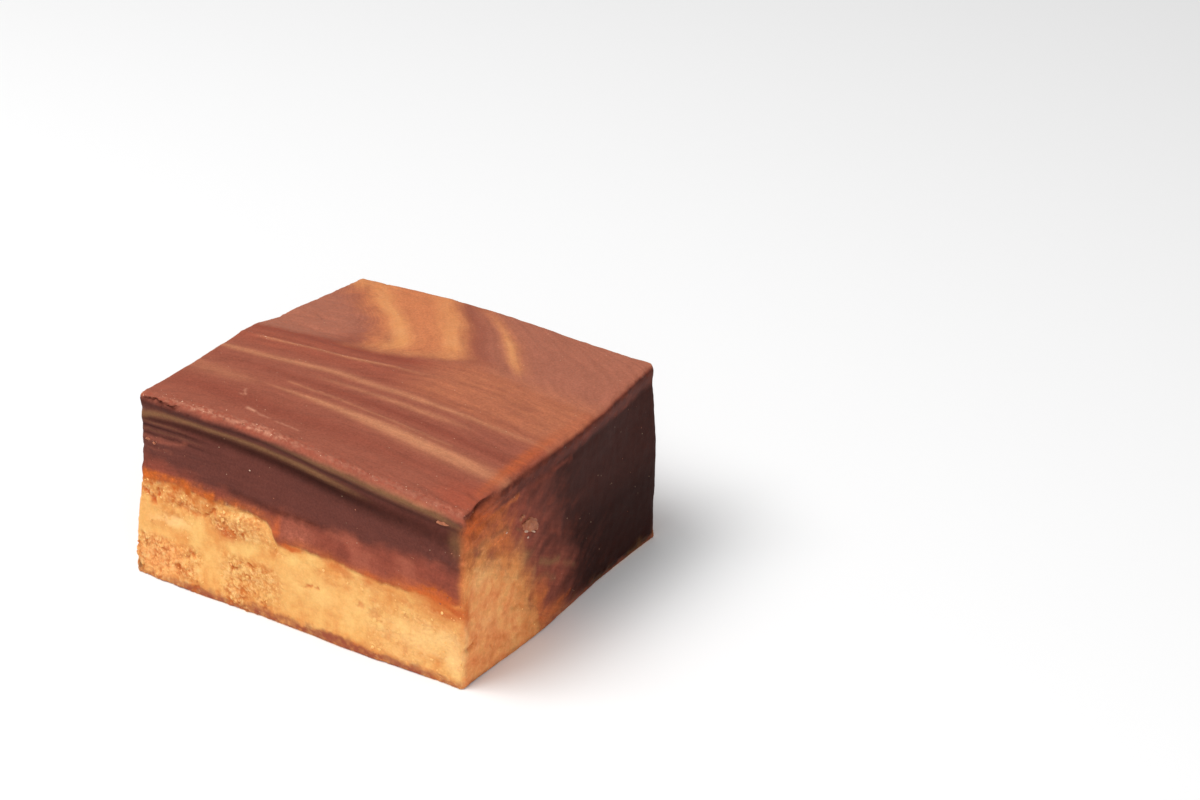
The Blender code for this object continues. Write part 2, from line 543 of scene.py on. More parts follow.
FRONT_MARKS: tuple[Mark, ...] = (
    Stain((14.3, 9.9), (1.6, 1.15), "stain", 1.0),
    Stain((31.9, 10.7), (2.6, 0.7), "stain", 0.6, -14.0),
    Stain((35.9, 10.7), (1.1, 1.4), "stain", 0.55, 20.0),
    Stain((41.7, 9.8), (1.1, 0.8), "stain", 0.5),
    Stain((39.5, 10.6), (4.5, 1.3), "stain", 0.28),
    Stain((25.2, 13.5), (3.0, 1.7), "mauve_and_sheen", 0.95, 0.0, 0.1),
    Stain((24.5, 11.4), (1.5, 0.4), "stain", 1.0, 4.0),
    Stain((22.3, 13.2), (0.5, 1.5), "stain", 0.5),
    # Painted shade along a crevice.
    Crease(((21.4, 15.0), (24.5, 15.6), (28.5, 15.4)), 0.3, -0.1, "crevice_shade", 0.35),
    Stain((46.8, 11.5), (5.2, 2.1), "stain", 0.8, -6.0),
    Stain((43.6, 10.6), (1.2, 1.6), "stain", 0.45, 10.0),
    Stain((48.8, 12.1), (1.3, 0.35), "gold", 1.0),
    Stain((45.1, 7.8), (0.9, 0.25), "stain", 0.45, 20.0),
    Stain((34.8, 7.1), (0.7, 0.5), "stain", 0.6, 0.0, -0.12),
    Stain((23.0, 5.3), (0.9, 1.1), "stain", 0.25, 0.0, -0.10),
    # Painted shadow at the foot of the left front corner.
    Stain((0.6, 1.2), (0.7, 0.6), "crevice_shade", 0.85, 0.0, -0.25),
    Stain((5.4, 8.8), (2.8, 0.7), "pale", 0.6, 4.0),
    Stain((4.2, 3.2), (4.4, 2.6), "blush", 0.55),
    Stain((17.6, 12.6), (5.3, 2.0), "pale", 0.12, 0.0, 0.4),
    Stain((46.1, 2.6), (0.9, 1.2), "stain", 0.2),
    Stain((41.5, 2.6), (4.5, 1.6), "pale", 0.25),
    Stain((48.8, 4.0), (1.8, 2.6), "pale", 0.6),
    Stain((44.0, 5.4), (6.5, 2.8), "pale", 0.45, 6.0),
    Stain((47.5, 6.5), (2.4, 2.0), "pale", 0.55, 6.0),
    Stain((33.0, 6.5), (9.0, 3.5), "pale", 0.12),
    Crease(((-0.5, 12.2), (1.2, 12.0), (2.1, 11.5), (2.4, 10.7)), 0.42, -0.35, "stain", 1.0),
    Crease(((1.9, 12.9), (2.7, 12.1), (3.0, 11.6)), 0.3, -0.25, "stain", 1.0),
    Crease(((6.5, 11.2), (9.0, 11.1), (10.6, 11.4)), 0.35, -0.15, "stain", 0.6),
    # The cracks below are coloured as painted shade, a darker orange.
    Crease(((10.8, 11.4), (11.6, 11.8), (12.3, 12.4)), 0.30, -0.35, "shaded_pit", 1.0),
    Crease(((12.5, 13.2), (12.6, 12.0), (13.1, 10.8), (14.2, 10.3)), 0.25, -0.25, "stain", 0.6),
    Crease(((14.0, 5.2), (14.8, 5.6), (15.3, 5.3), (16.3, 5.5)), 0.22, -0.25),
    Crease(((15.1, 6.0), (15.2, 5.0), (15.2, 3.4)), 0.16, -0.18, "shaded_pit", 0.7),
    Crease(((17.7, 6.8), (18.3, 6.6)), 0.22, -0.28),
    Crease(((15.9, 6.6), (16.6, 6.7)), 0.2, -0.15, "shaded_pit", 0.6),
    Crease(((18.8, 3.2), (19.5, 2.6), (19.7, 1.9)), 0.22, -0.2, "shaded_pit", 0.8),
    Crease(((8.0, 4.7), (9.0, 5.1), (9.4, 5.7)), 0.22, -0.2, "shaded_pit", 0.6),
    Crease(((5.4, 5.4), (6.2, 5.2)), 0.2, -0.12, "shaded_pit", 0.5),
    Crease(((26.7, 6.7), (27.4, 7.0), (28.6, 7.3)), 0.2, -0.15, "stain", 0.8),
    Crease(((28.0, 12.1), (33.0, 12.3), (38.0, 11.8), (43.0, 12.5)), 0.45, 0.0, "dark", 0.22),
    Crease(((44.0, 13.1), (46.0, 13.5), (47.8, 13.2)), 0.2, -0.18, "shaded_pit", 0.9),
    Crease(((-1.0, 19.6), (1.5, 19.3), (4.5, 19.45), (7.5, 19.9)), 0.32, 0.12, "mauve_and_sheen", 0.4),
    Crease(((-1.0, 18.2), (2.0, 18.0), (5.0, 18.3)), 0.16, 0.05, "mauve_and_sheen", 0.3),
    Stain((36.8, 11.3), (1.6, 0.7), "stain", 0.5),
    # Painted shade in the gap under the lip.
    Crease(((1.0, 25.0), (2.6, 24.9), (4.5, 24.75), (6.5, 24.8)), 0.2, -0.1, "crevice_shade", 0.9),
    Stain((47.5, 18.5), (3.5, 3.6), "crumbly", 0.45),
    Stain((48.8, 21.0), (1.2, 2.0), "tan", 0.5),
    Stain((25.2, 13.7), (3.4, 1.8), "crumbly", 0.7),
)

RIGHT_MARKS: tuple[Mark, ...] = (
    Stain((0.1, 11.3), (1.3, 3.0), "stain", 1.0),
    Stain((-0.2, 6.0), (1.2, 3.2), "pale", 0.45),
    Stain((1.2, 23.4), (5.0, 1.2), "stain", 1.0),
    Stain((5.6, 17.6), (1.9, 1.0), "ember", 0.5),
    Stain((12.4, 13.2), (1.8, 0.9), "ember", 0.8, -20.0),
    Stain((9.1, 18.8), (0.8, 0.35), "tan", 0.6, -25.0, 0.1),
    Stain((11.9, 17.6), (0.7, 0.2), "tan", 0.6, -40.0, 0.05),
    Stain((12.8, 19.0), (0.35, 0.25), "pale", 0.4, 0.0, 0.1),
    Stain((20.0, 13.8), (0.6, 1.2), "ember", 0.6, 20.0, 0.12),
    Stain((21.4, 13.0), (0.8, 1.7), "ember", 0.5, 10.0, 0.1),
    Stain((19.5, 18.2), (1.1, 0.5), "ember", 0.5, -40.0, 0.08),
    Stain((14.6, 12.6), (1.2, 0.8), "tan", 0.35, -30.0),
    Stain((3.8, 14.6), (2.4, 1.4), "pale", 0.2),
    Stain((5.5, 7.4), (2.2, 1.2), "pale", 0.15, -10.0),
    Stain((1.2, 5.7), (2.0, 0.4), "stain", 0.5, -6.0, -0.12),
    Stain((2.9, 16.6), (2.0, 0.4), "tan", 0.4, -10.0),
    Crease(((17.3, 10.1), (19.0, 9.3), (21.4, 8.5)), 0.45, 0.10, "tan", 0.75),
    Crease(((16.5, 8.1), (18.5, 7.9), (20.3, 6.4)), 0.35, 0.05, "tan", 0.35),
    Crease(((22.5, 7.6), (25.0, 6.0)), 0.35, 0.05, "tan", 0.35),
    Crease(((1.0, 21.4), (5.0, 21.9), (12.0, 22.2)), 0.28, 0.12, "amber", 0.6),
    Crease(((12.0, 22.2), (18.0, 22.0), (24.0, 22.1)), 0.28, 0.10, "ember", 0.5),
    # Painted shade under the rim near the front corner.
    Crease(((1.6, 24.8), (2.6, 24.0), (3.6, 22.8)), 0.6, 0.0, "crevice_shade", 0.3),
    Crease(((-0.5, 5.4), (1.5, 5.9), (3.2, 6.3)), 0.3, -0.35, "stain", 0.8),
    Stain((0.0, 3.0), (0.6, 1.2), "pale", 0.3, 0.0, 0.15),
    Stain((0.0, 8.2), (0.7, 1.5), "pale", 0.4, 0.0, 0.2),
    Crease(((0.5, 19.8), (5.0, 19.7), (9.0, 19.2)), 0.5, 0.06, "tan", 0.35),
    Crease(((10.0, 6.4), (13.0, 6.2)), 0.25, -0.15, "stain", 0.5),
    Crease(((6.2, 3.5), (7.2, 3.2)), 0.25, -0.20, "stain", 0.6),
    Crease(((0.0, 2.4), (14.0, 2.1), (24.0, 2.6)), 0.22, -0.05, "stain", 0.45),
)

TOP_MARKS: tuple[Mark, ...] = (
    Crease(((14.4, 3.75), (15.6, 3.55)), 0.24, 0.06, "pale", 0.8),
    Crease(((16.2, 3.4), (18.2, 3.2)), 0.15, 0.03, "pale", 0.35),
    Crease(((19.4, 3.1), (20.8, 3.05), (23.0, 2.9)), 0.15, 0.03, "pale", 0.4),
    Crease(((11.2, 7.4), (11.7, 6.7), (12.0, 6.3), (11.4, 6.1)), 0.16, 0.04, "pale", 0.45),
    Crease(((14.5, 12.0), (20.0, 12.15), (30.0, 12.0), (40.0, 11.8)), 0.2, 0.04, "tan", 0.4),
    Crease(((18.5, 10.4), (21.0, 10.35), (23.0, 10.2)), 0.22, 0.03, "tan", 0.8),
    Crease(((1.5, 29.6), (4.0, 30.0), (6.5, 31.0)), 0.35, -0.12, "dark", 0.4),
    Crease(((3.8, 31.7), (5.2, 31.1), (6.0, 31.4)), 0.4, -0.10, "dark", 0.6),
    Crease(((0.5, 26.6), (4.0, 27.6), (8.0, 27.3), (12.0, 27.9)), 0.4, -0.10, "dark", 0.35),
    Crease(((1.0, 33.4), (3.5, 34.0), (5.0, 33.8)), 0.35, -0.08, "dark", 0.3),
    Stain((21.7, 14.0), (0.35, 0.25), "dark", 0.9),
    Stain((48.6, 13.5), (1.0, 8.5), "rust", 0.6),
    Stain((49.2, 30.0), (0.9, 20.0), "ember", 0.7),
    Stain((47.5, 3.2), (3.8, 3.0), "ember", 0.75),
    Stain((2.0, 44.6), (5.0, 2.2), "gold", 0.45),
)


def apply_marks(
    marks: tuple[Mark, ...], masks: Masks, along: Array, across: Array, waver: float = 0.35
) -> Array:
    """Adds marks to the masks of a face.

    Args:
        marks: The marks.
        masks: The face's masks, which are changed.
        along: Millimetres along the face.
        across: Millimetres across it.
        waver: How unsteady their outlines are, in millimetres.

    Returns:
        How far the marks stand out, in millimetres.
    """
    plan = flat_places(along, across, 5.0)
    along = along + waver * clouds(plan, 1.1, 4, 31.0)
    across = across + waver * clouds(plan, 1.1, 4, 37.0)
    broken = smoothstep(-0.45, 0.15, clouds(plan, 0.9, 3, 43.0))
    relief = np.zeros(len(along))
    for mark in marks:
        cover = mark.cover(along, across)
        if mark.height < 0.0:
            cover = cover * broken
        raise_mask(masks, mark.mask, mark.strength * cover)
        relief = relief + mark.height * cover
    return relief


@dataclass(frozen=True)
class Marbling:
    """Lays out the colours over the whole block. Places are in millimetres from the left front corner."""

    fold_line: Line = ((0, 22.4), (6, 24.0), (12, 25.0), (18, 26.0), (22, 27.2), (27, 29.2), (34, 29.6),
                       (50, 29.0))
    stream_a: Line = ((25.0, 15.8), (26.6, 16.6), (28.5, 17.8), (30.5, 18.3), (33.5, 16.5), (36.0, 14.0),
                      (38.5, 10.6), (41.0, 8.0), (46.0, 4.0))
    stream_b: Line = ((25.0, 17.5), (28.2, 22.0), (29.8, 25.0), (31.6, 26.7), (33.5, 25.4), (36.0, 23.0),
                      (39.8, 20.2), (46.0, 16.0))
    stream_c: Line = ((25.0, 45.0), (31.0, 37.6), (34.1, 34.4), (37.3, 31.9), (39.4, 30.0), (43.2, 25.3),
                      (46.0, 22.5))
    stream_gap: float = 7.0
    top_tans: tuple[Streak, ...] = (
        Streak(((10, 10.1), (21, 10.2), (28, 10.0), (35, 9.8), (42, 9.6), (50, 9.4)),
               ((10, 0.25), (18, 0.45), (26, 0.8), (34, 1.15), (50, 1.25)),
               ((10, 0.0), (16, 0.4), (22, 0.65), (34, 0.85), (44, 0.7), (50, 0.45))),
        Streak(((0, 15.4), (6, 16.0), (12, 16.9), (19, 17.7), (26, 18.1), (36, 18.7), (50, 19.0)),
               ((0, 0.5), (15, 0.6), (30, 0.55), (50, 0.5)),
               ((0, 0.6), (10, 0.6), (28, 0.55), (42, 0.45), (50, 0.25))),
        Streak(((14, 15.2), (24, 15.9), (32, 16.3), (42, 16.6)), ((14, 0.35), (42, 0.6)),
               ((14, 0.0), (22, 0.35), (34, 0.45), (42, 0.0))),
        Streak(((0, 9.4), (8, 9.6), (14, 9.9)), ((0, 1.4), (14, 0.8)), ((0, 0.25), (8, 0.28), (14, 0.0))),
        Streak(((2, 19.7), (4, 19.9), (9, 20.7), (14, 21.5), (18, 22.3), (22, 23.4), (27, 24.5), (32, 25.4)),
               ((2, 0.25), (18, 0.28), (32, 0.45)),
               ((2, 0.0), (5, 0.55), (14, 0.6), (18, 0.8), (22, 0.5), (32, 0.0))),
    )
    top_darks: tuple[Streak, ...] = (
        Streak(((0, 5.4), (20, 5.4), (50, 6.2)), ((0, 2.0), (50, 1.6)),
               ((0, 0.45), (8, 0.7), (26, 0.55), (50, 0.3))),
        Streak(((0, 13.0), (14, 13.4), (30, 13.9), (50, 13.6)), ((0, 1.0), (25, 0.9), (50, 1.1)),
               ((0, 0.3), (15, 0.5), (30, 0.75), (50, 0.6))),
        Streak(((16, 19.2), (30, 20.2), (50, 20.6)), ((16, 0.5), (50, 0.9)),
               ((16, 0.0), (24, 0.4), (40, 0.45), (50, 0.2))),
        Streak(((0, 22.0), (6, 23.3), (12, 24.2), (18, 25.4), (22, 26.3), (28, 28.0)),
               ((0, 0.6), (14, 1.0), (28, 1.0)),
               ((0, 0.7), (8, 0.75), (18, 0.95), (23, 0.8), (28, 0.0))),
        Streak(((24, 11.4), (36, 11.2), (50, 10.9)), ((24, 0.2), (50, 0.3)),
               ((24, 0.0), (32, 0.35), (50, 0.4))),
    )
    front_tans: tuple[Streak, ...] = (
        Streak(((0, 22.55), (3, 23.0), (7, 23.15), (13, 23.05), (20, 22.8), (26, 22.55), (32, 22.2),
                (38, 22.0)),
               ((0, 0.42), (8, 0.36), (26, 0.34), (38, 0.3)), ((0, 0.8), (20, 0.8), (28, 0.8), (38, 0.0))),
        Streak(((18, 24.3), (28, 24.1), (36, 24.1), (44, 24.1), (48, 23.8), (50, 23.4)),
               ((18, 0.25), (32, 0.5), (44, 0.65), (50, 0.6)), ((18, 0.0), (27, 0.6), (46, 0.8), (50, 0.4))),
        Streak(((0, 21.6), (4, 21.7), (9, 21.6)), ((0, 0.14), (9, 0.12)), ((0, 0.3), (5, 0.25), (9, 0.0))),
        Streak(((0, 20.5), (6, 20.7), (12, 20.6)), ((0, 0.12), (12, 0.12)), ((0, 0.3), (8, 0.2), (12, 0.0))),
    )
    front_darks: tuple[Streak, ...] = (
        Streak(((0, 22.1), (8, 22.3), (20, 22.0), (32, 21.4), (50, 21.2)),
               ((0, 0.35), (14, 0.65), (24, 0.95), (50, 1.2)), ((0, 0.7), (16, 0.8), (30, 0.9), (50, 0.5))),
        Streak(((0, 24.0), (20, 24.0), (30, 23.3), (50, 22.7)), ((0, 0.5), (30, 0.4), (50, 0.5)),
               ((0, 0.45), (20, 0.5), (36, 0.6), (50, 0.4))),
        Streak(((0, 21.1), (7, 21.2), (14, 21.1)), ((0, 0.2), (14, 0.2)), ((0, 0.8), (9, 0.6), (14, 0.0))),
        Streak(((0, 20.0), (8, 20.2), (14, 20.1)), ((0, 0.16), (14, 0.16)), ((0, 0.6), (9, 0.5), (14, 0.0))),
        Streak(((10, 16.2), (20, 15.6), (27, 15.5), (34, 15.7)), ((10, 0.4), (34, 0.5)),
               ((10, 0.0), (18, 0.5), (26, 0.6), (34, 0.0))),
    )
    front_gold: Line = ((0, 13.3), (4, 13.7), (8, 13.9), (12, 13.3), (14, 14.0), (19, 14.1), (21.3, 13.3),
                        (22.6, 11.2),
                        (26, 11.6), (31, 11.6), (37, 11.2), (41, 11.7), (46, 11.9), (50, 10.5))
    front_dark_floor: Line = ((0, 16.3), (8, 15.9), (14, 15.5), (21, 15.0), (30, 15.3), (36, 15.9),
                              (42, 16.8), (50, 17.3))
    right_gold: Line = ((-1, 17.6), (3, 16.9), (6, 15.7), (8, 14.6), (10.5, 12.8), (12.5, 10.0), (14, 6.0),
                        (15.5, 2.0),
                        (17, -2.0))
    amber_edge: Line = ((-1, 20.0), (2.5, 17.8), (7.5, 15.0), (10, 13.6), (12.5, 11.6), (15, 10.4),
                        (17.5, 9.5), (22, 8.0))
    dark_edge: Line = ((-1, 25.0), (2.5, 22.5), (5, 21.5), (10, 20.0), (12.5, 18.2), (17.5, 16.2),
                       (22, 14.0), (25, 13.0))

    def streaks(self, streaks: tuple[Streak, ...], along: Array, across: Array) -> Array:
        """The strongest of several streaks at each place."""
        return np.max([streak.mask(along, across) for streak in streaks], axis=0)

    def empty(self, skin: Skin) -> Masks:
        """Masks of plain chocolate for every point."""
        masks = {name: np.zeros(len(skin.x)) for name in (*MASKS, "along", "across", "relief")}
        masks["drawn"] = np.full(len(skin.x), 0.6)
        return masks

    def on_top(self, skin: Skin) -> Masks:
        """Masks for the top face.

        Args:
            skin: The layer's points.

        Returns:
            One array for each mask and for the flow coordinates.
        """
        masks = self.empty(skin)
        plan = flat_places(skin.x, skin.y)
        x = skin.x + 0.9 * clouds(plan, 7.0, 3, 7.0)
        y = skin.y + 0.22 * clouds(plan * np.array([0.3, 1.0, 1.0]), 6.0, 3, 3.0)
        past_fold = skin.y - soft_line(self.fold_line, skin.x) + 0.5 * clouds(plan, 4.0, 3, 13.0)
        swirl = smoothstep(-0.5, 1.2, past_fold)
        a, b, c = (soft_line(line, skin.y) for line in (self.stream_a, self.stream_b, self.stream_c))
        stream = np.where(x < b, (x - a) / (b - a), 1.0 + (x - b) / (c - b))
        front_fade = smoothstep(-1.2, 4.6, past_fold + 1.2 * clouds(plan, 6.0, 3, 47.0))
        fading = soft_line(((26, 0.9), (31, 1.0), (40, 0.8), (46, 0.55)), skin.y)
        core_a = hill(0.0, 1.9, x - a) * fading
        core_b = hill(0.0, 2.2, x - b) * fading * 0.8
        fading_c = soft_line(((30, 0.0), (34, 0.6), (38, 0.8), (41, 0.4), (45, 0.05)), skin.y)
        core_c = hill(0.0, 1.0, x - c) * fading_c
        masks["gold"] = front_fade * 0.8 * np.maximum(np.maximum(core_a, core_b), core_c)
        reach = soft_line(((25, 3.0), (29, 5.5), (33, 8.5), (40, 9.5)), skin.y)
        left_rise = smoothstep(0.0, 1.0, (x - a + 2.5 * clouds(plan, 3.0, 3, 41.0)) / reach + 1.0)
        amber = left_rise * fall(-0.5, 4.5, x - b)
        halo_c = 0.4 * hill(0.3, 2.0, x - c) * smoothstep(29.5, 34.0, skin.y)
        calm = between(27.0, 52.0, 10.0, skin.x) * between(19.5, 31.0, 6.0, skin.y)
        masks["amber"] = np.maximum(front_fade * np.maximum(0.9 * amber, halo_c), 0.34 * calm)
        right_of_streams = smoothstep(2.0, 9.0, x - b)
        left_of_streams = fall(-10.0, -2.0, x - a)
        # Behind the fold the top turns a lighter mauve: partly the fudge's own colour, partly painted sheen
        # towards the back left.
        masks["mauve_and_sheen"] = swirl * np.clip(np.maximum(left_of_streams, 0.85 * right_of_streams), 0.0, 1.0)
        raise_mask(masks, "mauve_and_sheen", 0.35 * calm)
        masks["tan"] = self.streaks(self.top_tans, x, y) * (1.0 - swirl)
        valley = 0.6 * hill(4.0, 1.5, x - b) * soft_line(((29, 0.2), (34, 0.6), (42, 0.5), (46, 0.3)), skin.y)
        masks["dark"] = np.maximum(self.streaks(self.top_darks, x, y), valley * front_fade)
        reddish = between(17.5, 27.5, 2.0, skin.y - 0.1 * skin.x) * fall(22.0, 38.0, skin.x)
        masks["ember"] = 0.30 * reddish * (1.0 - swirl)
        # The whole top takes the top colours, which are partly painted sheen.
        masks["top_skin_and_sheen"] = np.ones(len(x))

        # Paler scuffs along the front lip, which also stand in for a painted highlight where the rounded edge
        # catches the light.
        scuffs = clouds(plan * np.array([1.0, 1.8, 1.0]), 0.6, 5, 11.0)
        front_lip = fall(0.3, 1.7, skin.y + 0.9 * scuffs)
        lip_strength = soft_line(((0, 0.1), (6, 0.4), (10, 0.9), (14, 0.6), (18, 1.0), (22, 0.8),
                                  (27, 0.3), (50, 0.3)), skin.x)
        masks["pale"] = 0.75 * front_lip * lip_strength * smoothstep(-0.25, 0.45, scuffs)
        raise_mask(masks, "ember", 0.4 * front_lip * smoothstep(0.1, -0.4, scuffs))
        thin_edge = np.maximum(fall(0.1, 0.9, skin.x), smoothstep(45.0, 45.8, skin.y))
        raise_mask(masks, "amber", 0.45 * thin_edge)
        # Painted shade in the crevice along the right edge, under the rim.
        masks["crevice_shade"] = 0.9 * hill(49.8, 0.25, skin.x) * fall(4.0, 8.0, skin.y)
        masks["relief"] = apply_marks(TOP_MARKS, masks, skin.x, skin.y, 0.12)
        masks["along"] = mix(skin.x, skin.y * 0.8 - skin.x * 0.6, swirl)
        curved = mix(self.stream_gap * stream, past_fold * 1.2, left_of_streams)
        masks["across"] = mix(past_fold, curved + 40.0, swirl)
        masks["drawn"] = mix(0.7, 0.35, np.clip(swirl + 0.7 * calm, 0.0, 1.0))
        return masks

    def near_seam(self, masks: Masks, level: Array, gold_top: Array, dark_floor: Array, fray: Array) -> None:
        """Adds the peanut fudge, its rusty rim and the mixed zone above it.

        Args:
            masks: The masks to change.
            level: Height of each point.
            gold_top: Height at which the peanut fudge ends.
            dark_floor: Height at which the dark chocolate starts.
            fray: Noise that makes the borders uneven.
        """
        over_gold = level - gold_top - 0.55 * fray
        masks["gold"] = fall(-0.4, 0.35, over_gold)
        masks["rust"] = hill(0.15, 0.75, over_gold)
        ember_end = fall(-1.1, 1.3, level - dark_floor - 0.9 * fray)
        masks["ember"] = ember_end * smoothstep(-0.1, 0.5, over_gold)

    def on_front(self, skin: Skin) -> Masks:
        """Masks for the front side, where both layers show best.

        Args:
            skin: The layer's points.

        Returns:
            One array for each mask and for the flow coordinates.
        """
        masks = self.empty(skin)
        s, level = skin.x, skin.level
        flat = flat_places(s, level)
        fray = clouds(flat, 2.4, 5, 5.0)
        patches = clouds(flat, 3.5, 3, 51.0)
        gold_top = soft_line(self.front_gold, s)
        dark_floor = soft_line(self.front_dark_floor, s)
        self.near_seam(masks, level, gold_top, dark_floor, fray)
        right_part = smoothstep(20.8, 23.0, s + 0.5 * fray)
        masks["rust"] = masks["rust"] * mix(0.1 + 0.4 * patches, 0.35 + 0.5 * smoothstep(38.0, 44.0, s),
                                            right_part)
        rusty_zone = masks["ember"] * (1.0 - right_part)
        grainy = clouds(flat, 0.9, 4, 71.0)
        above_gold = level - gold_top + 0.7 * fray + 0.7 * grainy
        masks["amber"] = 0.45 * rusty_zone * fall(-0.2, 1.5, above_gold)
        masks["ember"] = masks["ember"] * mix(0.75, 0.92 + 0.3 * patches, right_part)
        masks["mauve_and_sheen"] = right_part * masks["ember"] * smoothstep(-0.3, 0.5, patches) * 0.6
        torn = between(-2.0, 12.4, 1.0, s) * between(11.6, 15.0, 0.8, level + 0.5 * fray)
        # The torn zone and its border take a darker orange: partly the torn fudge's own colour, partly
        # painted shade between its lumps.
        masks["shaded_pit"] = torn * mix(0.35, 0.8, smoothstep(12.4, 14.0, level)) * (0.8 + 0.9 * fray
                                                                               + 0.8 * grainy)
        border = hill(14.3, 0.7, level + 0.5 * fray + 0.3 * grainy) * (1.0 - right_part)
        raise_mask(masks, "shaded_pit", (0.2 + 0.8 * grainy) * border)
        masks["crumbly"] = 0.6 * between(-2.0, 21.0, 2.0, s) * between(12.0, 15.4, 0.9, level + 0.6 * fray)
        # Near the top edge the side turns to the top colours, with their painted sheen.
        masks["top_skin_and_sheen"] = smoothstep(24.2, 25.0, level + 0.2 * fray)
        wave = level + 0.10 * clouds(flat * np.array([0.2, 1.0, 1.0]), 1.5, 2, 9.0)
        masks["tan"] = self.streaks(self.front_tans, s, wave)
        masks["dark"] = self.streaks(self.front_darks, s, wave)
        band = smoothstep(24.5, 25.2, level + 0.3 * fray)
        raise_mask(masks, "ember", 0.5 * band * smoothstep(5.0, 12.0, s))
        foot = soft_line(((0, 0.9), (4, 0.5), (8, 0.8), (14, 0.9), (22, 0.9), (26, 1.0), (42, 1.0),
                          (50, 0.7)), s)
        height = soft_line(((0, 0.7), (8, 0.9), (12, 1.2), (16, 0.9), (20, 1.2), (26, 1.2), (34, 1.4),
                            (44, 1.1), (50, 1.0)), s)
        masks["smear"] = foot * fall(-0.35, 0.45, level - height + 0.5 * fray + 0.5 * grainy)
        masks["smear"] = masks["smear"] * (0.9 + 0.4 * grainy)
        granules = 0.5 * fall(1.0, 2.2, level + 0.8 * fray) * smoothstep(-0.1, 0.5, grainy)
        raise_mask(masks, "stain", granules * foot)
        corner_end = smoothstep(48.6, 49.9, s + 0.4 * fray) * fall(20.0, 24.0, level)
        raise_mask(masks, "amber", 0.75 * corner_end)
        masks["relief"] = apply_marks(FRONT_MARKS, masks, s, level)
        masks["pale"] = masks["pale"] * np.maximum(masks["gold"], smoothstep(16.0, 18.0, level))
        drift = soft_line(((0, -0.9), (8, 0.0), (20, 0.1), (30, -0.4), (50, -1.2)), s)
        masks["along"], masks["across"] = s, level - drift
        masks["drawn"] = 0.85 - 0.5 * smoothstep(8.0, 20.0, s)
        return masks

    def on_right(self, skin: Skin) -> Masks:
        """Masks for the right side, where peanut fudge is smeared over the chocolate near the front corner.

        Args:
            skin: The layer's points.

        Returns:
            One array for each mask and for the flow coordinates.
        """
        masks = self.empty(skin)
        s, level = skin.y, skin.level
        flat = flat_places(s, level, 40.0)
        broad = clouds(flat, 7.0, 4, 2.0)
        fine = clouds(flat, 1.6, 4, 8.0)
        slope = soft_line(self.right_gold, s + 0.5) - soft_line(self.right_gold, s - 0.5)
        over_gold = (level - soft_line(self.right_gold, s)) / np.hypot(1.0, slope) - 1.5 * broad - 0.6 * fine
        swept = clouds(np.stack([0.87 * s + 0.5 * level, 3.5 * (0.87 * level - 0.5 * s), 0.0 * s], axis=1),
                       5.0, 4, 33.0)
        past_amber = s - soft_line(self.amber_edge, level) + 4.0 * broad + 1.0 * fine + 2.5 * swept
        past_dark = s - soft_line(self.dark_edge, level) + 4.0 * broad + 1.5 * fine + 3.0 * swept
        masks["gold"] = (0.9 + 0.2 * fine) * fall(-3.5, 3.4, over_gold)
        masks["blush"] = (0.75 + 0.5 * fine) * fall(-4.5, 2.0, over_gold)
        masks["stain"] = (0.15 + 0.5 * fine) * fall(-1.5, 1.0, over_gold)
        masks["amber"] = (0.75 + 0.5 * fine) * fall(-1.5, 4.0, past_amber)
        ember = 0.97 * fall(-5.0, 8.0, past_dark) ** 2
        masks["ember"] = np.maximum(ember, 0.22 * smoothstep(-0.1, 0.5, swept) * fall(4.0, 16.0, past_dark))
        masks["mauve_and_sheen"] = 0.35 * smoothstep(-0.2, 0.5, fine) * fall(-4.0, 5.0, past_dark)
        # The dark chocolate towards the back, darker still lower down, is partly painted shade.
        low_down = 0.8 + 0.3 * smoothstep(16.0, 6.0, level)
        masks["dark"] = np.clip(smoothstep(-5.0, 9.0, past_dark) * low_down, 0.0, 1.0)
        lip = smoothstep(22.2, 22.9, level + 0.3 * fine)
        near_corner = fall(4.0, 9.0, s + fine)
        masks["gold"] = masks["gold"] * (1.0 - lip)
        masks["amber"] = mix(masks["amber"], 0.2 * near_corner, lip)
        masks["ember"] = mix(masks["ember"], 0.25 + 0.75 * near_corner + 0.3 * fine, lip)
        masks["dark"] = mix(masks["dark"], 0.65 * (1.0 - near_corner) + 0.3 * fine, lip)
        foot_streaks = between(13.0, 22.0, 4.0, s) * hill(1.6, 1.4, level + 0.6 * fine)
        raise_mask(masks, "amber", 0.8 * foot_streaks)
        masks["smear"] = 0.5 * fall(0.2, 0.8, level + 0.4 * fine)
        masks["crumbly"] = fall(-1.0, 4.0, past_amber) * (1.0 - lip) * mix(0.2, 0.5,
                                                                           smoothstep(14.0, 18.0, level))
        # Painted shade in the tear under the rim near the front corner.
        masks["crevice_shade"] = 0.95 * hill(25.15, 0.32, level + 0.1 * fine) * fall(4.0, 8.0, s)
        masks["relief"] = apply_marks(RIGHT_MARKS, masks, s, level)
        masks["along"], masks["across"] = 0.87 * s - 0.5 * level, level * 0.87 + s * 0.5
        return masks

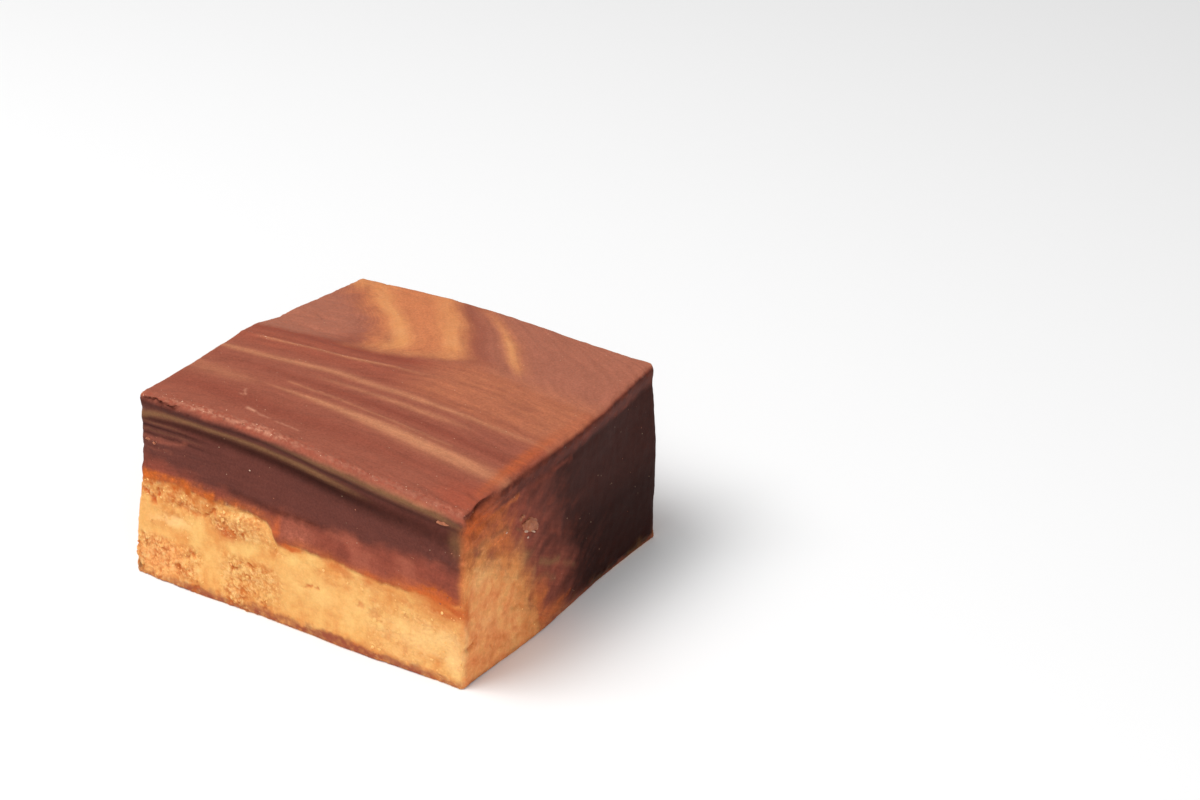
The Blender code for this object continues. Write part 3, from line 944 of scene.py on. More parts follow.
    def on_hidden_side(self, skin: Skin, side: Side) -> Masks:
        """Masks for the left or the back side, laid out by the same rules as the sides that show.

        Args:
            skin: The layer's points.
            side: Side.LEFT or Side.BACK.

        Returns:
            One array for each mask and for the two flow coordinates.
        """
        masks = self.empty(skin)
        s, level = skin.along(side), skin.level
        is_back = side is Side.BACK
        flat = flat_places(s, level, 90.0 if is_back else 140.0)
        fray = clouds(flat, 3.0, 4, 6.0)
        slow = clouds(flat * np.array([1.0, 0.2, 1.0]), 16.0, 2, 1.0)
        u = skin.x / (skin.block.length / MM) if is_back else np.zeros(len(s))
        v = np.ones(len(s)) if is_back else skin.y / (skin.block.depth / MM)
        top = skin.block.top_height(u, v)
        gold_top = skin.block.seam_height(u, v) / top * skin.block.height / MM + 0.1
        self.near_seam(masks, level, gold_top, gold_top + 1.6 + 0.8 * slow, fray)
        masks["rust"] = masks["rust"] * (0.6 + 0.3 * slow)
        if is_back:
            slant = s + 0.9 * (25.4 - level) + 1.5 * slow
            masks["amber"] = smoothstep(15.0, 24.0, level) * 0.8 * np.maximum(hill(3.0, 3.0, slant),
                                                                              hill(14.0, 3.5, slant))
            masks["tan"] = 0.8 * hill(24.5, 0.8, slant) * smoothstep(12.0, 20.0, level)
            raise_mask(masks, "amber",
                       0.7 * between(33.0, 46.0, 8.0, s + fray) * fall(3.0, 9.0, level + 2.0 * slow))
        else:
            first = 22.6 + 2.9 * (np.clip(s, 0.0, 16.0) / 16.0) ** 1.4
            second = 19.6 + 0.09 * s + 0.7 * slow
            masks["tan"] = np.maximum(0.85 * hill(first, 0.45, level) * smoothstep(18.5, 15.0, s),
                                      0.5 * hill(second, 0.35, level))
            masks["amber"] = 0.7 * smoothstep(30.0, 46.0, s) * hill(23.5, 2.2, level)
        masks["dark"] = np.maximum(0.8 * hill(21.3 + 0.8 * slow, 0.9, level), 0.35 + 0.35 * slow)
        masks["smear"] = 0.8 * fall(0.4, 1.2, level + 0.6 * fray) * smoothstep(-0.3, 0.3, slow)
        masks["blush"] = (0.45 + 0.4 * fray) * masks["gold"]
        masks["stain"] = 0.5 * smoothstep(0.1, 0.7, fray) * masks["gold"]
        masks["along"], masks["across"] = s + (100.0 if is_back else 200.0), level - 0.8 * slow
        return masks

    def paint(self, skin: Skin) -> Masks:
        """Masks for a whole layer: each side's, joined softly at the edges.

        Args:
            skin: The layer's points.

        Returns:
            One array for each mask and for the two flow coordinates.
        """
        parts = [
            (skin.sides[Side.FRONT], self.on_front(skin)),
            (skin.sides[Side.RIGHT], self.on_right(skin)),
            (skin.sides[Side.BACK], self.on_hidden_side(skin, Side.BACK)),
            (skin.sides[Side.LEFT], self.on_hidden_side(skin, Side.LEFT)),
        ]
        total = np.maximum(sum(share for share, _ in parts), 1.0e-6)
        walls = {name: sum(share * masks[name] for share, masks in parts) / total for name in parts[0][1]}
        if skin.layer is Layer.PEANUT:
            underside = skin.cube[:, 2] < -0.999
            walls["gold"] = np.where(underside, 1.0, walls["gold"])
            foot_noise = clouds(skin.places / MM, 6.0, 4, 4.0)
            walls["smear"] = np.where(underside, smoothstep(-0.25, 0.35, foot_noise), walls["smear"])
            return walls
        top = self.on_top(skin)
        return {name: mix(walls[name], top[name], skin.on_top) for name in walls}


# ----- Finishes -----

FLOAT = "NodeSocketFloat"
VECTOR = "NodeSocketVector"

Rgb = tuple[int, int, int]
Socket = bpy.types.NodeSocket
Sockets = dict[str, Socket]
Feed = Socket | float | tuple[float, ...]


def paint_colour(rgb: Rgb) -> tuple[float, float, float, float]:
    """The shader's colour for a paint-chart colour given from 0 to 255."""
    share = [value / 255.0 for value in rgb]
    linear = [value / 12.92 if value < 0.04045 else ((value + 0.055) / 1.055) ** 2.4 for value in share]
    return (*linear, 1.0)


@dataclass
class Wiring:
    """Adds nodes to the node tree of a material, a world or a group, and joins them."""

    tree: bpy.types.NodeTree

    def node(self, kind: str, feeds: dict[str | int, Feed] | None = None,
             **settings: object) -> bpy.types.Node:
        """Adds one node.

        Args:
            kind: The node's type.
            feeds: What goes into its inputs, by their name or number.
            **settings: The node's own settings.

        Returns:
            The new node.
        """
        node = self.tree.nodes.new(kind)
        for name, value in settings.items():
            setattr(node, name, value)
        for name, value in (feeds or {}).items():
            self.feed(node.inputs[name], value)
        return node

    def feed(self, socket: Socket, value: Feed) -> None:
        """Joins a socket to another one, or sets its value."""
        if isinstance(value, Socket):
            self.tree.links.new(value, socket)
        else:
            socket.default_value = value

    def maths(self, operation: str, *values: Feed, clamp: bool = False) -> Socket:
        """A Math node.

        Args:
            operation: The node's operation.
            *values: What it works on.
            clamp: Whether the result is kept between 0 and 1.

        Returns:
            The result.
        """
        feeds = dict(enumerate(values))
        return self.node("ShaderNodeMath", feeds, operation=operation, use_clamp=clamp).outputs[0]

    def times(self, first: Feed, second: Feed) -> Socket:
        """The product of two values."""
        return self.maths("MULTIPLY", first, second)

    def plus(self, first: Feed, second: Feed) -> Socket:
        """The sum of two values."""
        return self.maths("ADD", first, second)

    def mixed(self, share: Feed, low: Feed, high: Feed, blend: str = "MIX") -> Socket:
        """A mix of two colours.

        Args:
            share: Share of the second colour.
            low: The first colour.
            high: The second colour.
            blend: How they are mixed.

        Returns:
            The mixed colour.
        """
        node = self.node("ShaderNodeMix", {"Factor": share}, data_type="RGBA", blend_type=blend)
        self.feed(node.inputs[6], low)
        self.feed(node.inputs[7], high)
        return node.outputs[2]

    def spread(self, value: Feed, low: float, high: float, start: float = 0.0, end: float = 1.0) -> Socket:
        """Maps a value from one range to another.

        Args:
            value: The value.
            low: The start of its own range.
            high: The end of its own range.
            start: What the range's start becomes.
            end: What its end becomes.

        Returns:
            The mapped value, which stays between start and end.
        """
        feeds = {"Value": value, "From Min": low, "From Max": high, "To Min": start, "To Max": end}
        return self.node("ShaderNodeMapRange", feeds).outputs[0]

    def bump(self, height: Feed, strength: float, millimetres: float, normal: Feed | None = None) -> Socket:
        """A surface normal from a height.

        Args:
            height: The height, from 0 to 1.
            strength: How strongly it shows.
            millimetres: How high 1 is.
            normal: The normal that it bends, where that isn't the mesh's own.

        Returns:
            The bent normal.
        """
        feeds = {"Height": height, "Strength": strength, "Distance": millimetres * MM}
        if normal is not None:
            feeds["Normal"] = normal
        return self.node("ShaderNodeBump", feeds).outputs[0]

    def noise(self, vector: Feed, scale: float, detail: float = 3.0, roughness: float = 0.55) -> Socket:
        """Noise from 0 to 1.

        Args:
            vector: Where to read it.
            scale: How many clouds there are to a unit.
            detail: How many finer sizes are added.
            roughness: How strong the finer sizes are.

        Returns:
            The noise.
        """
        feeds = {"Vector": vector, "Scale": scale, "Detail": detail, "Roughness": roughness}
        return self.node("ShaderNodeTexNoise", feeds).outputs["Fac"]

    def scaled(self, vector: Feed, scale: Triple) -> Socket:
        """A vector with each axis scaled."""
        return self.node("ShaderNodeMapping", {"Vector": vector, "Scale": scale}).outputs[0]


@dataclass(frozen=True)
class SharedGroup:
    """A shader node group with named inputs and outputs, made once and placed in several materials."""

    name: str

    def inputs(self) -> dict[str, str]:
        """The group's inputs and their socket types."""
        raise NotImplementedError

    def outputs(self) -> dict[str, str]:
        """The group's outputs and their socket types."""
        raise NotImplementedError

    def wire(self, wiring: Wiring, feeds: bpy.types.NodeInputs) -> Sockets:
        """Adds the nodes between the inputs and the outputs."""
        raise NotImplementedError

    def tree(self) -> bpy.types.NodeTree:
        """The group's tree, which is made at the first call."""
        made = bpy.data.node_groups.get(self.name)
        if made:
            return made
        tree = bpy.data.node_groups.new(self.name, "ShaderNodeTree")
        for name, kind in self.inputs().items():
            tree.interface.new_socket(name=name, in_out="INPUT", socket_type=kind)
        for name, kind in self.outputs().items():
            tree.interface.new_socket(name=name, in_out="OUTPUT", socket_type=kind)
        wiring = Wiring(tree)
        entry = wiring.node("NodeGroupInput")
        wiring.node("NodeGroupOutput", self.wire(wiring, entry.outputs))
        return tree

    def place(self, wiring: Wiring, feeds: dict[str, Feed]) -> bpy.types.NodeOutputs:
        """Places the group in another tree.

        Args:
            wiring: The other tree's wiring.
            feeds: What goes into the group's inputs.

        Returns:
            The outputs of the placed group.
        """
        node = wiring.tree.nodes.new("ShaderNodeGroup")
        node.node_tree = self.tree()
        for name, value in feeds.items():
            wiring.feed(node.inputs[name], value)
        return node.outputs


@dataclass(frozen=True)
class FrayedMask(SharedGroup):
    """Breaks up the border of a mask with noise, and leaves its full and empty parts as they are."""

    name: str = "frayed_mask"

    def inputs(self) -> dict[str, str]:
        """The mask, the noise around 0.5 and how strongly it frays."""
        return {"Mask": FLOAT, "Noise": FLOAT, "Amount": FLOAT}

    def outputs(self) -> dict[str, str]:
        """The frayed mask."""
        return {"Mask": FLOAT}

    def wire(self, wiring: Wiring, feeds: bpy.types.NodeInputs) -> Sockets:
        """Adds noise to the mask in the measure in which it is neither full nor empty."""
        mask = feeds["Mask"]
        border = wiring.times(mask, wiring.maths("SUBTRACT", 1.0, mask))
        strength = wiring.times(border, wiring.times(feeds["Amount"], 4.0))
        noise = wiring.maths("SUBTRACT", feeds["Noise"], 0.5)
        return {"Mask": wiring.maths("MULTIPLY_ADD", strength, noise, mask, clamp=True)}


@dataclass(frozen=True)
class SugarGrain(SharedGroup):
    """Fine sugar grain: a height for the bump, a mottling, and sparse light glints."""

    name: str = "sugar_grain"

    def inputs(self) -> dict[str, str]:
        """The place in millimetres and the size of a grain in millimetres."""
        return {"Place": VECTOR, "Size": FLOAT}

    def outputs(self) -> dict[str, str]:
        """Height and mottling from 0 to 1, and glints."""
        return {"Height": FLOAT, "Mottle": FLOAT, "Glint": FLOAT}

    def wire(self, wiring: Wiring, feeds: bpy.types.NodeInputs) -> Sockets:
        """Adds three sizes of grain together and picks out a few grains as glints."""
        finest = wiring.maths("DIVIDE", 1.0, feeds["Size"])
        fine = wiring.noise(feeds["Place"], finest, 3.0, 0.6)
        medium = wiring.noise(feeds["Place"], wiring.times(finest, 0.35), 3.0, 0.6)
        broad = wiring.noise(feeds["Place"], 0.45, 3.0, 0.6)
        cells = wiring.node("ShaderNodeTexVoronoi",
                            {"Vector": feeds["Place"], "Scale": wiring.times(finest, 0.5)})
        lumps = wiring.spread(cells.outputs["Distance"], 0.0, 0.7, 1.0, 0.0)
        height = wiring.plus(wiring.times(fine, 0.4), wiring.times(lumps, 0.3))
        height = wiring.plus(height, wiring.times(medium, 0.5))
        rare = wiring.node("ShaderNodeSeparateColor", {0: cells.outputs["Color"]}).outputs[0]
        picked = wiring.spread(rare, 0.990, 0.996)
        near = wiring.spread(cells.outputs["Distance"], 0.18, 0.32, 1.0, 0.0)
        speckle = wiring.noise(feeds["Place"], 3.4, 2.0, 0.7)
        mottle = wiring.plus(wiring.times(speckle, 0.7), wiring.times(broad, 0.3))
        return {"Height": height, "Mottle": mottle, "Glint": wiring.times(picked, near)}


@dataclass(frozen=True)
class Granules(SharedGroup):
    """The coarser granules of crumbled fudge, about two thirds of a millimetre wide."""

    name: str = "crumbled_granules"

    def inputs(self) -> dict[str, str]:
        """The place in millimetres and how crumbly the fudge is there."""
        return {"Place": VECTOR, "Crumbly": FLOAT}

    def outputs(self) -> dict[str, str]:
        """The granules' height, a painted highlight on their upper parts and painted shade between them."""
        return {"Height": FLOAT, "LitTops": FLOAT, "ShadedGaps": FLOAT}

    def wire(self, wiring: Wiring, feeds: bpy.types.NodeInputs) -> Sockets:
        """Warps cells with noise, and keeps them where the fudge is crumbly."""
        warp = wiring.node("ShaderNodeTexNoise",
                           {"Vector": feeds["Place"], "Scale": 1.3, "Detail": 3.0}).outputs["Color"]
        apart = wiring.node("ShaderNodeVectorMath", {0: warp, 1: (1.1, 1.1, 1.1)},
                            operation="MULTIPLY").outputs[0]
        place = wiring.node("ShaderNodeVectorMath", {0: feeds["Place"], 1: apart}, operation="ADD").outputs[0]
        cells = wiring.node("ShaderNodeTexVoronoi", {"Vector": place, "Scale": 1.5, "Randomness": 1.0})
        grit = wiring.noise(place, 0.9, 6.0, 0.74)
        clumps = wiring.maths("MULTIPLY_ADD", cells.outputs["Distance"], -0.22, wiring.plus(grit, 0.09))
        crumbly = feeds["Crumbly"]
        height = wiring.times(wiring.spread(clumps, 0.32, 0.66), crumbly)
        # Painted highlight on the granules' upper parts and painted shade between them.
        tops = wiring.times(wiring.spread(clumps, 0.50, 0.64), crumbly)
        gaps = wiring.times(wiring.spread(clumps, 0.49, 0.38), crumbly)
        return {"Height": height, "LitTops": tops, "ShadedGaps": gaps}


def start_material(name: str) -> tuple[bpy.types.Material, Wiring, bpy.types.Node, Socket]:
    """A new material with its wiring, its Principled shader and the place in millimetres.

    Args:
        name: The material's name.

    Returns:
        The material, its wiring, its shader and the place.
    """
    material = bpy.data.materials.new(name)
    material.use_nodes = True
    wiring = Wiring(material.node_tree)
    place = wiring.scaled(wiring.node("ShaderNodeTexCoord").outputs["Object"], METRES_TO_MM)
    return material, wiring, material.node_tree.nodes["Principled BSDF"], place


@dataclass(frozen=True)
class Tone:
    """One colour of fudge, as it is on the cut sides and as it is on the poured top. The top colour is
    lighter partly for the poured top's own skin and partly as painted sheen and the brighter light on the
    top.
    """

    side: Rgb
    top: Rgb


@dataclass(frozen=True)
class MarbledColour(SharedGroup):
    """Colours both layers from the masks of the marbling, frayed and streaked along the flow."""

    name: str = "marbled_colour"
    plain: Tone = Tone((100, 55, 47), (149, 84, 66))
    # Mauve is a purple-brown of the fudge; its lighter top tone also holds painted sheen.
    mauve_and_sheen: Tone = Tone((164, 92, 72), (165, 102, 81))
    dark: Tone = Tone((44, 18, 13), (134, 68, 53))
    ember: Tone = Tone((141, 71, 55), (158, 78, 58))
    amber: Tone = Tone((196, 108, 60), (200, 122, 80))
    tan: Tone = Tone((134, 95, 64), (196, 132, 96))
    rust: Tone = Tone((198, 108, 52), (180, 90, 50))
    gold: Tone = Tone((220, 150, 82), (216, 146, 90))
    cream: Tone = Tone((238, 190, 116), (222, 156, 102))
    blush: Tone = Tone((244, 160, 100), (222, 148, 100))
    stain: Tone = Tone((194, 94, 44), (196, 100, 56))
    smear: Tone = Tone((150, 80, 58), (150, 85, 60))
    # A darker orange of painted shade in pits, cracks and the gaps between granules.
    shaded_pit: Tone = Tone((190, 96, 40), (120, 60, 45))
    # A dark red-brown painted shade for crevices, the gap under the lip and the foot of the left corner.
    crevice_shade: Tone = Tone((72, 28, 18), (82, 36, 28))
    # Pale is lighter fudge and sugar, and also painted highlight on lump and granule tops and along the front
    # lip.
    pale: Tone = Tone((250, 206, 140), (206, 144, 116))
    order: tuple[tuple[str, float], ...] = (
        ("dark", 0.45), ("ember", 0.5), ("mauve_and_sheen", 0.5), ("amber", 0.5), ("tan", 0.35), ("rust", 0.6),
        ("gold", 0.35),
        ("blush", 0.6), ("stain", 0.7), ("smear", 0.9), ("shaded_pit", 0.2), ("pale", 0.6), ("crevice_shade", 0.4),
    )

    def inputs(self) -> dict[str, str]:
        """The masks, the place in millimetres, the flow, the grain's mottling and the granules."""
        floats = {name: FLOAT for name in (*MASKS, "Mottle", "LitTops", "ShadedGaps")}
        return floats | {"Place": VECTOR, "Flow": VECTOR}

    def outputs(self) -> dict[str, str]:
        """The colour, the share of peanut fudge and the height of the streaks."""
        return {"Color": "NodeSocketColor", "Peanut": FLOAT, "Streaks": FLOAT}

    def tone(self, wiring: Wiring, name: str, top_share: Feed) -> Socket:
        """The colour of one mask, between its side tone and its top tone; the top tone is partly painted
        sheen.
        """
        tone: Tone = getattr(self, name)
        return wiring.mixed(top_share, paint_colour(tone.side), paint_colour(tone.top))

    def wire(self, wiring: Wiring, feeds: bpy.types.NodeInputs) -> Sockets:
        """Lays the colours over one another in order, from the broad ones to the small ones."""
        frayed = FrayedMask()
        crumbly = wiring.noise(feeds["Place"], 1.1, 5.0, 0.65)
        cloudy = wiring.noise(feeds["Place"], 0.32, 5.0, 0.62)
        drawn = wiring.node("ShaderNodeSeparateXYZ", {0: feeds["Flow"]}).outputs[2]
        streaky = wiring.noise(wiring.scaled(feeds["Flow"], (0.10, 1.0, 0.0)), 1.1, 5.0, 0.6)
        fine_streaks = wiring.noise(wiring.scaled(feeds["Flow"], (0.14, 1.0, 0.0)), 3.2, 3.0, 0.6)
        both = wiring.plus(wiring.times(crumbly, 0.45), wiring.times(streaky, 0.55))
        wide = wiring.spread(both, 0.25, 0.75)
        share = frayed.place(wiring, {"Mask": feeds["gold"], "Noise": wide, "Amount": 0.3})[0]
        # The top share brings in the lighter top colours, partly painted sheen.
        colour = self.tone(wiring, "plain", feeds["top_skin_and_sheen"])
        for name, fray in self.order:
            mask = frayed.place(wiring, {"Mask": feeds[name], "Noise": wide, "Amount": fray})[0]
            tone = self.tone(wiring, name, feeds["top_skin_and_sheen"])
            if name == "gold":
                cream = self.tone(wiring, "cream", feeds["top_skin_and_sheen"])
                tone = wiring.mixed(wiring.spread(cloudy, 0.35, 0.68), tone, cream)
            colour = wiring.mixed(mask, colour, tone)
            if name == "stain":
                # Painted shade between the granules and a painted highlight on their upper parts.
                for grains, grain_tone, strength in (("ShadedGaps", "shaded_pit", 0.7), ("LitTops", "pale", 0.85)):
                    part = wiring.times(feeds[grains], wiring.times(share, strength))
                    colour = wiring.mixed(part, colour, self.tone(wiring, grain_tone, 0.0))
        banding = wiring.spread(streaky, 0.28, 0.72, -0.15, 0.15)
        lines = wiring.spread(fine_streaks, 0.25, 0.75, -0.06, 0.06)
        dark_share = wiring.maths("SUBTRACT", 1.0, wiring.times(share, 0.7))
        drawn = wiring.times(drawn, dark_share)
        streaking = wiring.times(wiring.plus(banding, lines), drawn)
        mottling = wiring.spread(feeds["Mottle"], 0.32, 0.68, -0.16, 0.16)
        mottling = wiring.times(mottling, wiring.maths("SUBTRACT", 1.0, wiring.times(share, 0.6)))
        # Painted light and shade: the granules are brightened on top and darkened between.
        granular = wiring.maths("MULTIPLY_ADD", feeds["ShadedGaps"], -0.35, feeds["LitTops"])
        granular = wiring.times(granular, 0.5)
        granular = wiring.times(granular, wiring.maths("SUBTRACT", 1.0, share))
        streaking = wiring.plus(streaking, granular)
        brightness = wiring.plus(1.0, wiring.plus(streaking, mottling))
        grey = wiring.node("ShaderNodeCombineColor", {0: brightness, 1: brightness, 2: brightness}).outputs[0]
        streaks = wiring.plus(wiring.times(streaky, 0.6), wiring.times(fine_streaks, 0.4))
        return {"Color": wiring.mixed(1.0, colour, grey, "MULTIPLY"), "Peanut": share, "Streaks": streaks}


@dataclass(frozen=True)
class FudgeFinish:
    """The material of one layer of fudge, lengths in millimetres.

    Attributes:
        gloss: Roughness of chocolate fudge and of peanut fudge.
        glow: How much light passes through the surface.
        sheen: Strength of the reflections.
    """

    name: str
    gloss: Pair = (0.48, 0.66)
    grain_size: float = 0.16
    grain_height: float = 0.05
    streak_height: float = 0.03
    granule_height: float = 0.09
    glow: float = 0.06
    glow_depth: float = 0.5
    sheen: float = 0.06

    def material(self) -> bpy.types.Material:
        """Makes the material."""
        material, wiring, shader, place = start_material(self.name)
        flow = wiring.node("ShaderNodeAttribute", attribute_name="flow").outputs["Vector"]
        grain = SugarGrain().place(wiring, {"Place": place, "Size": self.grain_size})
        masks = {name: wiring.node("ShaderNodeAttribute",
                                   attribute_name=name).outputs["Fac"] for name in MASKS}
        granules = Granules().place(wiring, {"Place": place, "Crumbly": masks["crumbly"]})
        feeds: dict[str, Feed] = masks | {"Place": place, "Flow": flow, "Mottle": grain["Mottle"]}
        feeds |= {name: granules[name] for name in ("LitTops", "ShadedGaps")}
        marbled = MarbledColour().place(wiring, feeds)
        glint = wiring.times(grain["Glint"], 0.3)
        colour = wiring.mixed(glint, marbled["Color"], paint_colour((240, 205, 170)))
        wiring.feed(shader.inputs["Base Color"], colour)
        rough = wiring.spread(marbled["Peanut"], 0.0, 1.0, *self.gloss)
        rough = wiring.plus(rough, wiring.spread(grain["Mottle"], 0.3, 0.7, -0.05, 0.05))
        wiring.feed(shader.inputs["Roughness"], rough)
        fine = wiring.bump(grain["Height"], 0.6, self.grain_height)
        drawn = wiring.bump(marbled["Streaks"], 0.5, self.streak_height, fine)
        lumpy = wiring.bump(granules["Height"], 0.7, self.granule_height, drawn)
        wiring.feed(shader.inputs["Normal"], lumpy)
        shader.inputs["Subsurface Weight"].default_value = self.glow
        shader.inputs["Subsurface Scale"].default_value = self.glow_depth * MM
        shader.inputs["Subsurface Radius"].default_value = (1.0, 0.5, 0.3)
        shader.inputs["Specular IOR Level"].default_value = self.sheen
        return material


@dataclass(frozen=True)
class CrumbFinish:
    """The material of loose crumbs, lumps and grains, whose colours lie between light and dark."""

    name: str
    light: Rgb
    dark: Rgb
    gloss: float = 0.6
    glow: float = 0.15
    sheen: float = 0.2

    def material(self) -> bpy.types.Material:
        """Makes the material."""
        material, wiring, shader, place = start_material(self.name)
        grain = SugarGrain().place(wiring, {"Place": place, "Size": 0.12})
        patches = wiring.spread(wiring.noise(place, 1.6, 3.0), 0.35, 0.65)
        both = wiring.plus(wiring.times(patches, 0.6), wiring.times(grain["Mottle"], 0.4))
        colour = wiring.mixed(both, paint_colour(self.dark), paint_colour(self.light))
        wiring.feed(shader.inputs["Base Color"], colour)
        wiring.feed(shader.inputs["Roughness"],
                    wiring.spread(grain["Mottle"], 0.3, 0.7, self.gloss - 0.06, self.gloss + 0.06))
        wiring.feed(shader.inputs["Normal"], wiring.bump(grain["Height"], 0.5, 0.04))
        shader.inputs["Subsurface Weight"].default_value = self.glow
        shader.inputs["Subsurface Scale"].default_value = 0.4 * MM
        shader.inputs["Specular IOR Level"].default_value = self.sheen
        return material


@dataclass(frozen=True)
class FloorFinish:
    """The pale studio floor."""

    name: str = "studio_floor"
    colour: float = 0.93

    def material(self) -> bpy.types.Material:
        """Makes the material."""
        material = bpy.data.materials.new(self.name)
        material.use_nodes = True
        shader = material.node_tree.nodes["Principled BSDF"]
        shader.inputs["Base Color"].default_value = (self.colour, self.colour, self.colour, 1.0)
        shader.inputs["Roughness"].default_value = 0.9
        shader.inputs["Specular IOR Level"].default_value = 0.1
        return material


# ----- The two layers -----


def spot(skin_along: Array, skin_level: Array, middle: Pair, size: Pair) -> Array:
    """A soft oval spot on a side.

    Args:
        skin_along: Places along the side.
        skin_level: Heights of those places.
        middle: Place and height of the spot's middle.
        size: Its half width and half height.

    Returns:
        The height of the spot, from 0 to 1.
    """
    return np.exp(-(((skin_along - middle[0]) / size[0]) ** 2) - ((skin_level - middle[1]) / size[1]) ** 2)


@dataclass(frozen=True)
class Patch:
    """A patch of a side, in millimetres along it and up it."""

    along: Pair
    level: Pair
    strength: float

    def mask(self, along: Array, level: Array) -> Array:
        """The patch's strength at each place."""
        return self.strength * between(*self.along, 2.5, along) * between(*self.level, 2.0, level)


@dataclass
class FudgeLayer:
    """One layer of fudge, as a closed piece that replaces its CAD node.

    Attributes:
        shift: Moves the block to the place of the CAD.
        cells: Coarse divisions along the length, the depth and the height.
        crowding: How much the rows crowd towards the edges.
        seam_roughness: Height of the seam's fine waves.
        tuck: How far the inside of the lower layer stays below the upper layer.
        groove: Depth of the hairline along the seam, in millimetres.
    """

    block: Block
    marbling: Marbling
    finish: FudgeFinish
    shift: Array
    layer: Layer = Layer.PEANUT
    cells: tuple[int, int, int] = (100, 92, 26)
    crowding: float = 0.4
    seam_roughness: float = 0.22 * MM
    tuck: float = 0.12 * MM
    groove: float = 0.03
    skin: Skin = field(init=False)
    masks: Masks = field(init=False)
    piece: bpy.types.Object = field(init=False)

    def divided_cube(self) -> bpy.types.Mesh:
        """A divided cube from -1 to 1, with twice as many rows where the layer shows."""
        mesh = bmesh.new()
        bmesh.ops.create_cube(mesh, size=2.0)
        for axis, cells in enumerate(self.cells):
            along = [edge for edge in mesh.edges if edge.verts[0].co[axis] != edge.verts[1].co[axis]]
            bmesh.ops.subdivide_edges(mesh, edges=along, cuts=cells - 1, use_grid_fill=True)
        shown = [face for face in mesh.faces if self.shows(face)]
        edges = {edge for face in shown for edge in face.edges}
        bmesh.ops.subdivide_edges(mesh, edges=list(edges), cuts=1, use_grid_fill=True)
        if self.layer is Layer.PEANUT:
            edges = {edge for face in mesh.faces if face.normal.y < -0.9 for edge in face.edges}
            bmesh.ops.subdivide_edges(mesh, edges=list(edges), cuts=1, use_grid_fill=True)
        if self.layer is Layer.CHOCOLATE:
            bmesh.ops.reverse_faces(mesh, faces=mesh.faces)
        data = bpy.data.meshes.new(self.layer.value + "_skin")
        mesh.to_mesh(data)
        mesh.free()
        return data

    def shows(self, face: bmesh.types.BMFace) -> bool:
        """Whether a face of the divided cube shows in the finished block."""
        height = face.normal.z
        return abs(height) < 0.5 or (self.layer is Layer.CHOCOLATE and height < -0.5)

    def seam_change(self, cube: Array) -> Array:
        """Fine waves of the seam, the same in both layers at the sides.

        Args:
            cube: The points of the divided cube.

        Returns:
            What is added to the height of the seam, in metres.
        """
        plan = np.stack([cube[:, 0] * 25.0, cube[:, 1] * 23.0, 0.0 * cube[:, 0]], axis=1)
        change = self.seam_roughness * clouds(plan, 2.2, 3, 12.0)
        if self.layer is Layer.PEANUT:
            inside = fall(0.93, 0.985, np.maximum(np.abs(cube[:, 0]), np.abs(cube[:, 1])))
            change = change - self.tuck * inside
        return change

    def relief(self, skin: Skin, masks: Masks) -> tuple[Array, Array]:
        """The layer's own relief.

        Args:
            skin: The layer's points.
            masks: Their masks, which the relief may add to.

        Returns:
            How far each point moves outwards, and how far upwards, in millimetres.
        """
        raise NotImplementedError

    def carve(self, skin: Skin, masks: Masks) -> Array:
        """The final places of the points.

        Args:
            skin: The layer's points.
            masks: Their masks, which the relief may add to.

        Returns:
            The places in metres, one on each row.
        """
        outwards, upwards = self.relief(skin, masks)
        outwards = outwards + masks["relief"] * (1.0 - skin.on_top)
        upwards = upwards + masks["relief"]
        thickness = self.block.top_height(*(skin.cube[:, :2].T + 1.0) / 2.0) / MM
        from_seam = (1.0 - skin.cube[:, 2]) / 2.0 * np.minimum(thickness, 12.0)
        at_seam = fall(0.0, 0.8, from_seam)
        shared = 0.10 * clouds(skin.places / MM, 1.8, 3, 20.0) - self.groove
        outwards = mix(outwards, shared, at_seam)
        places = skin.places + skin.outward * (outwards * skin.on_wall * MM)[:, None]
        places[:, 2] += upwards * skin.on_top * MM
        return places - self.shift

    def build(self) -> bpy.types.Object:
        """Makes the layer and dresses it."""
        data = self.divided_cube()
        cube = np.empty(len(data.vertices) * 3, dtype=np.float32)
        data.vertices.foreach_get("co", cube)
        cube = cube.reshape(-1, 3).astype(float)
        cube = mix(cube, np.sin(cube * math.pi / 2.0), self.crowding)
        places = self.block.place(cube, self.seam_change(cube), self.layer)
        self.skin = Skin(self.layer, cube, places, self.block)
        self.masks = self.marbling.paint(self.skin)
        places = self.carve(self.skin, self.masks)
        places[:, 2] = np.maximum(places[:, 2], 0.0)
        data.vertices.foreach_set("co", places.astype(np.float32).ravel())
        for name in MASKS:
            self.attach(data, name, np.clip(self.masks[name], 0.0, 1.0))
        flow = np.stack([self.masks[name] for name in ("along", "across", "drawn")], axis=1)
        self.attach(data, "flow", flow)
        data.update()
        data.shade_smooth()
        data.set_sharp_from_angle(angle=SHARP_ON_SKIN)
        data.materials.append(self.finish.material())
        self.piece = add_to_scene(self.layer.value + "_skin", data)
        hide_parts(self.layer.value)
        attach(self.piece, "root")
        return self.piece

    def attach(self, data: bpy.types.Mesh, name: str, values: Array) -> None:
        """Adds an attribute to the mesh.

        Args:
            data: The mesh.
            name: The attribute's name.
            values: One number, or one vector, for each point.
        """
        is_vector = values.ndim == 2
        kind, key = ("FLOAT_VECTOR", "vector") if is_vector else ("FLOAT", "value")
        attribute = data.attributes.new(name, kind, "POINT")
        attribute.data.foreach_set(key, values.astype(np.float32).ravel())


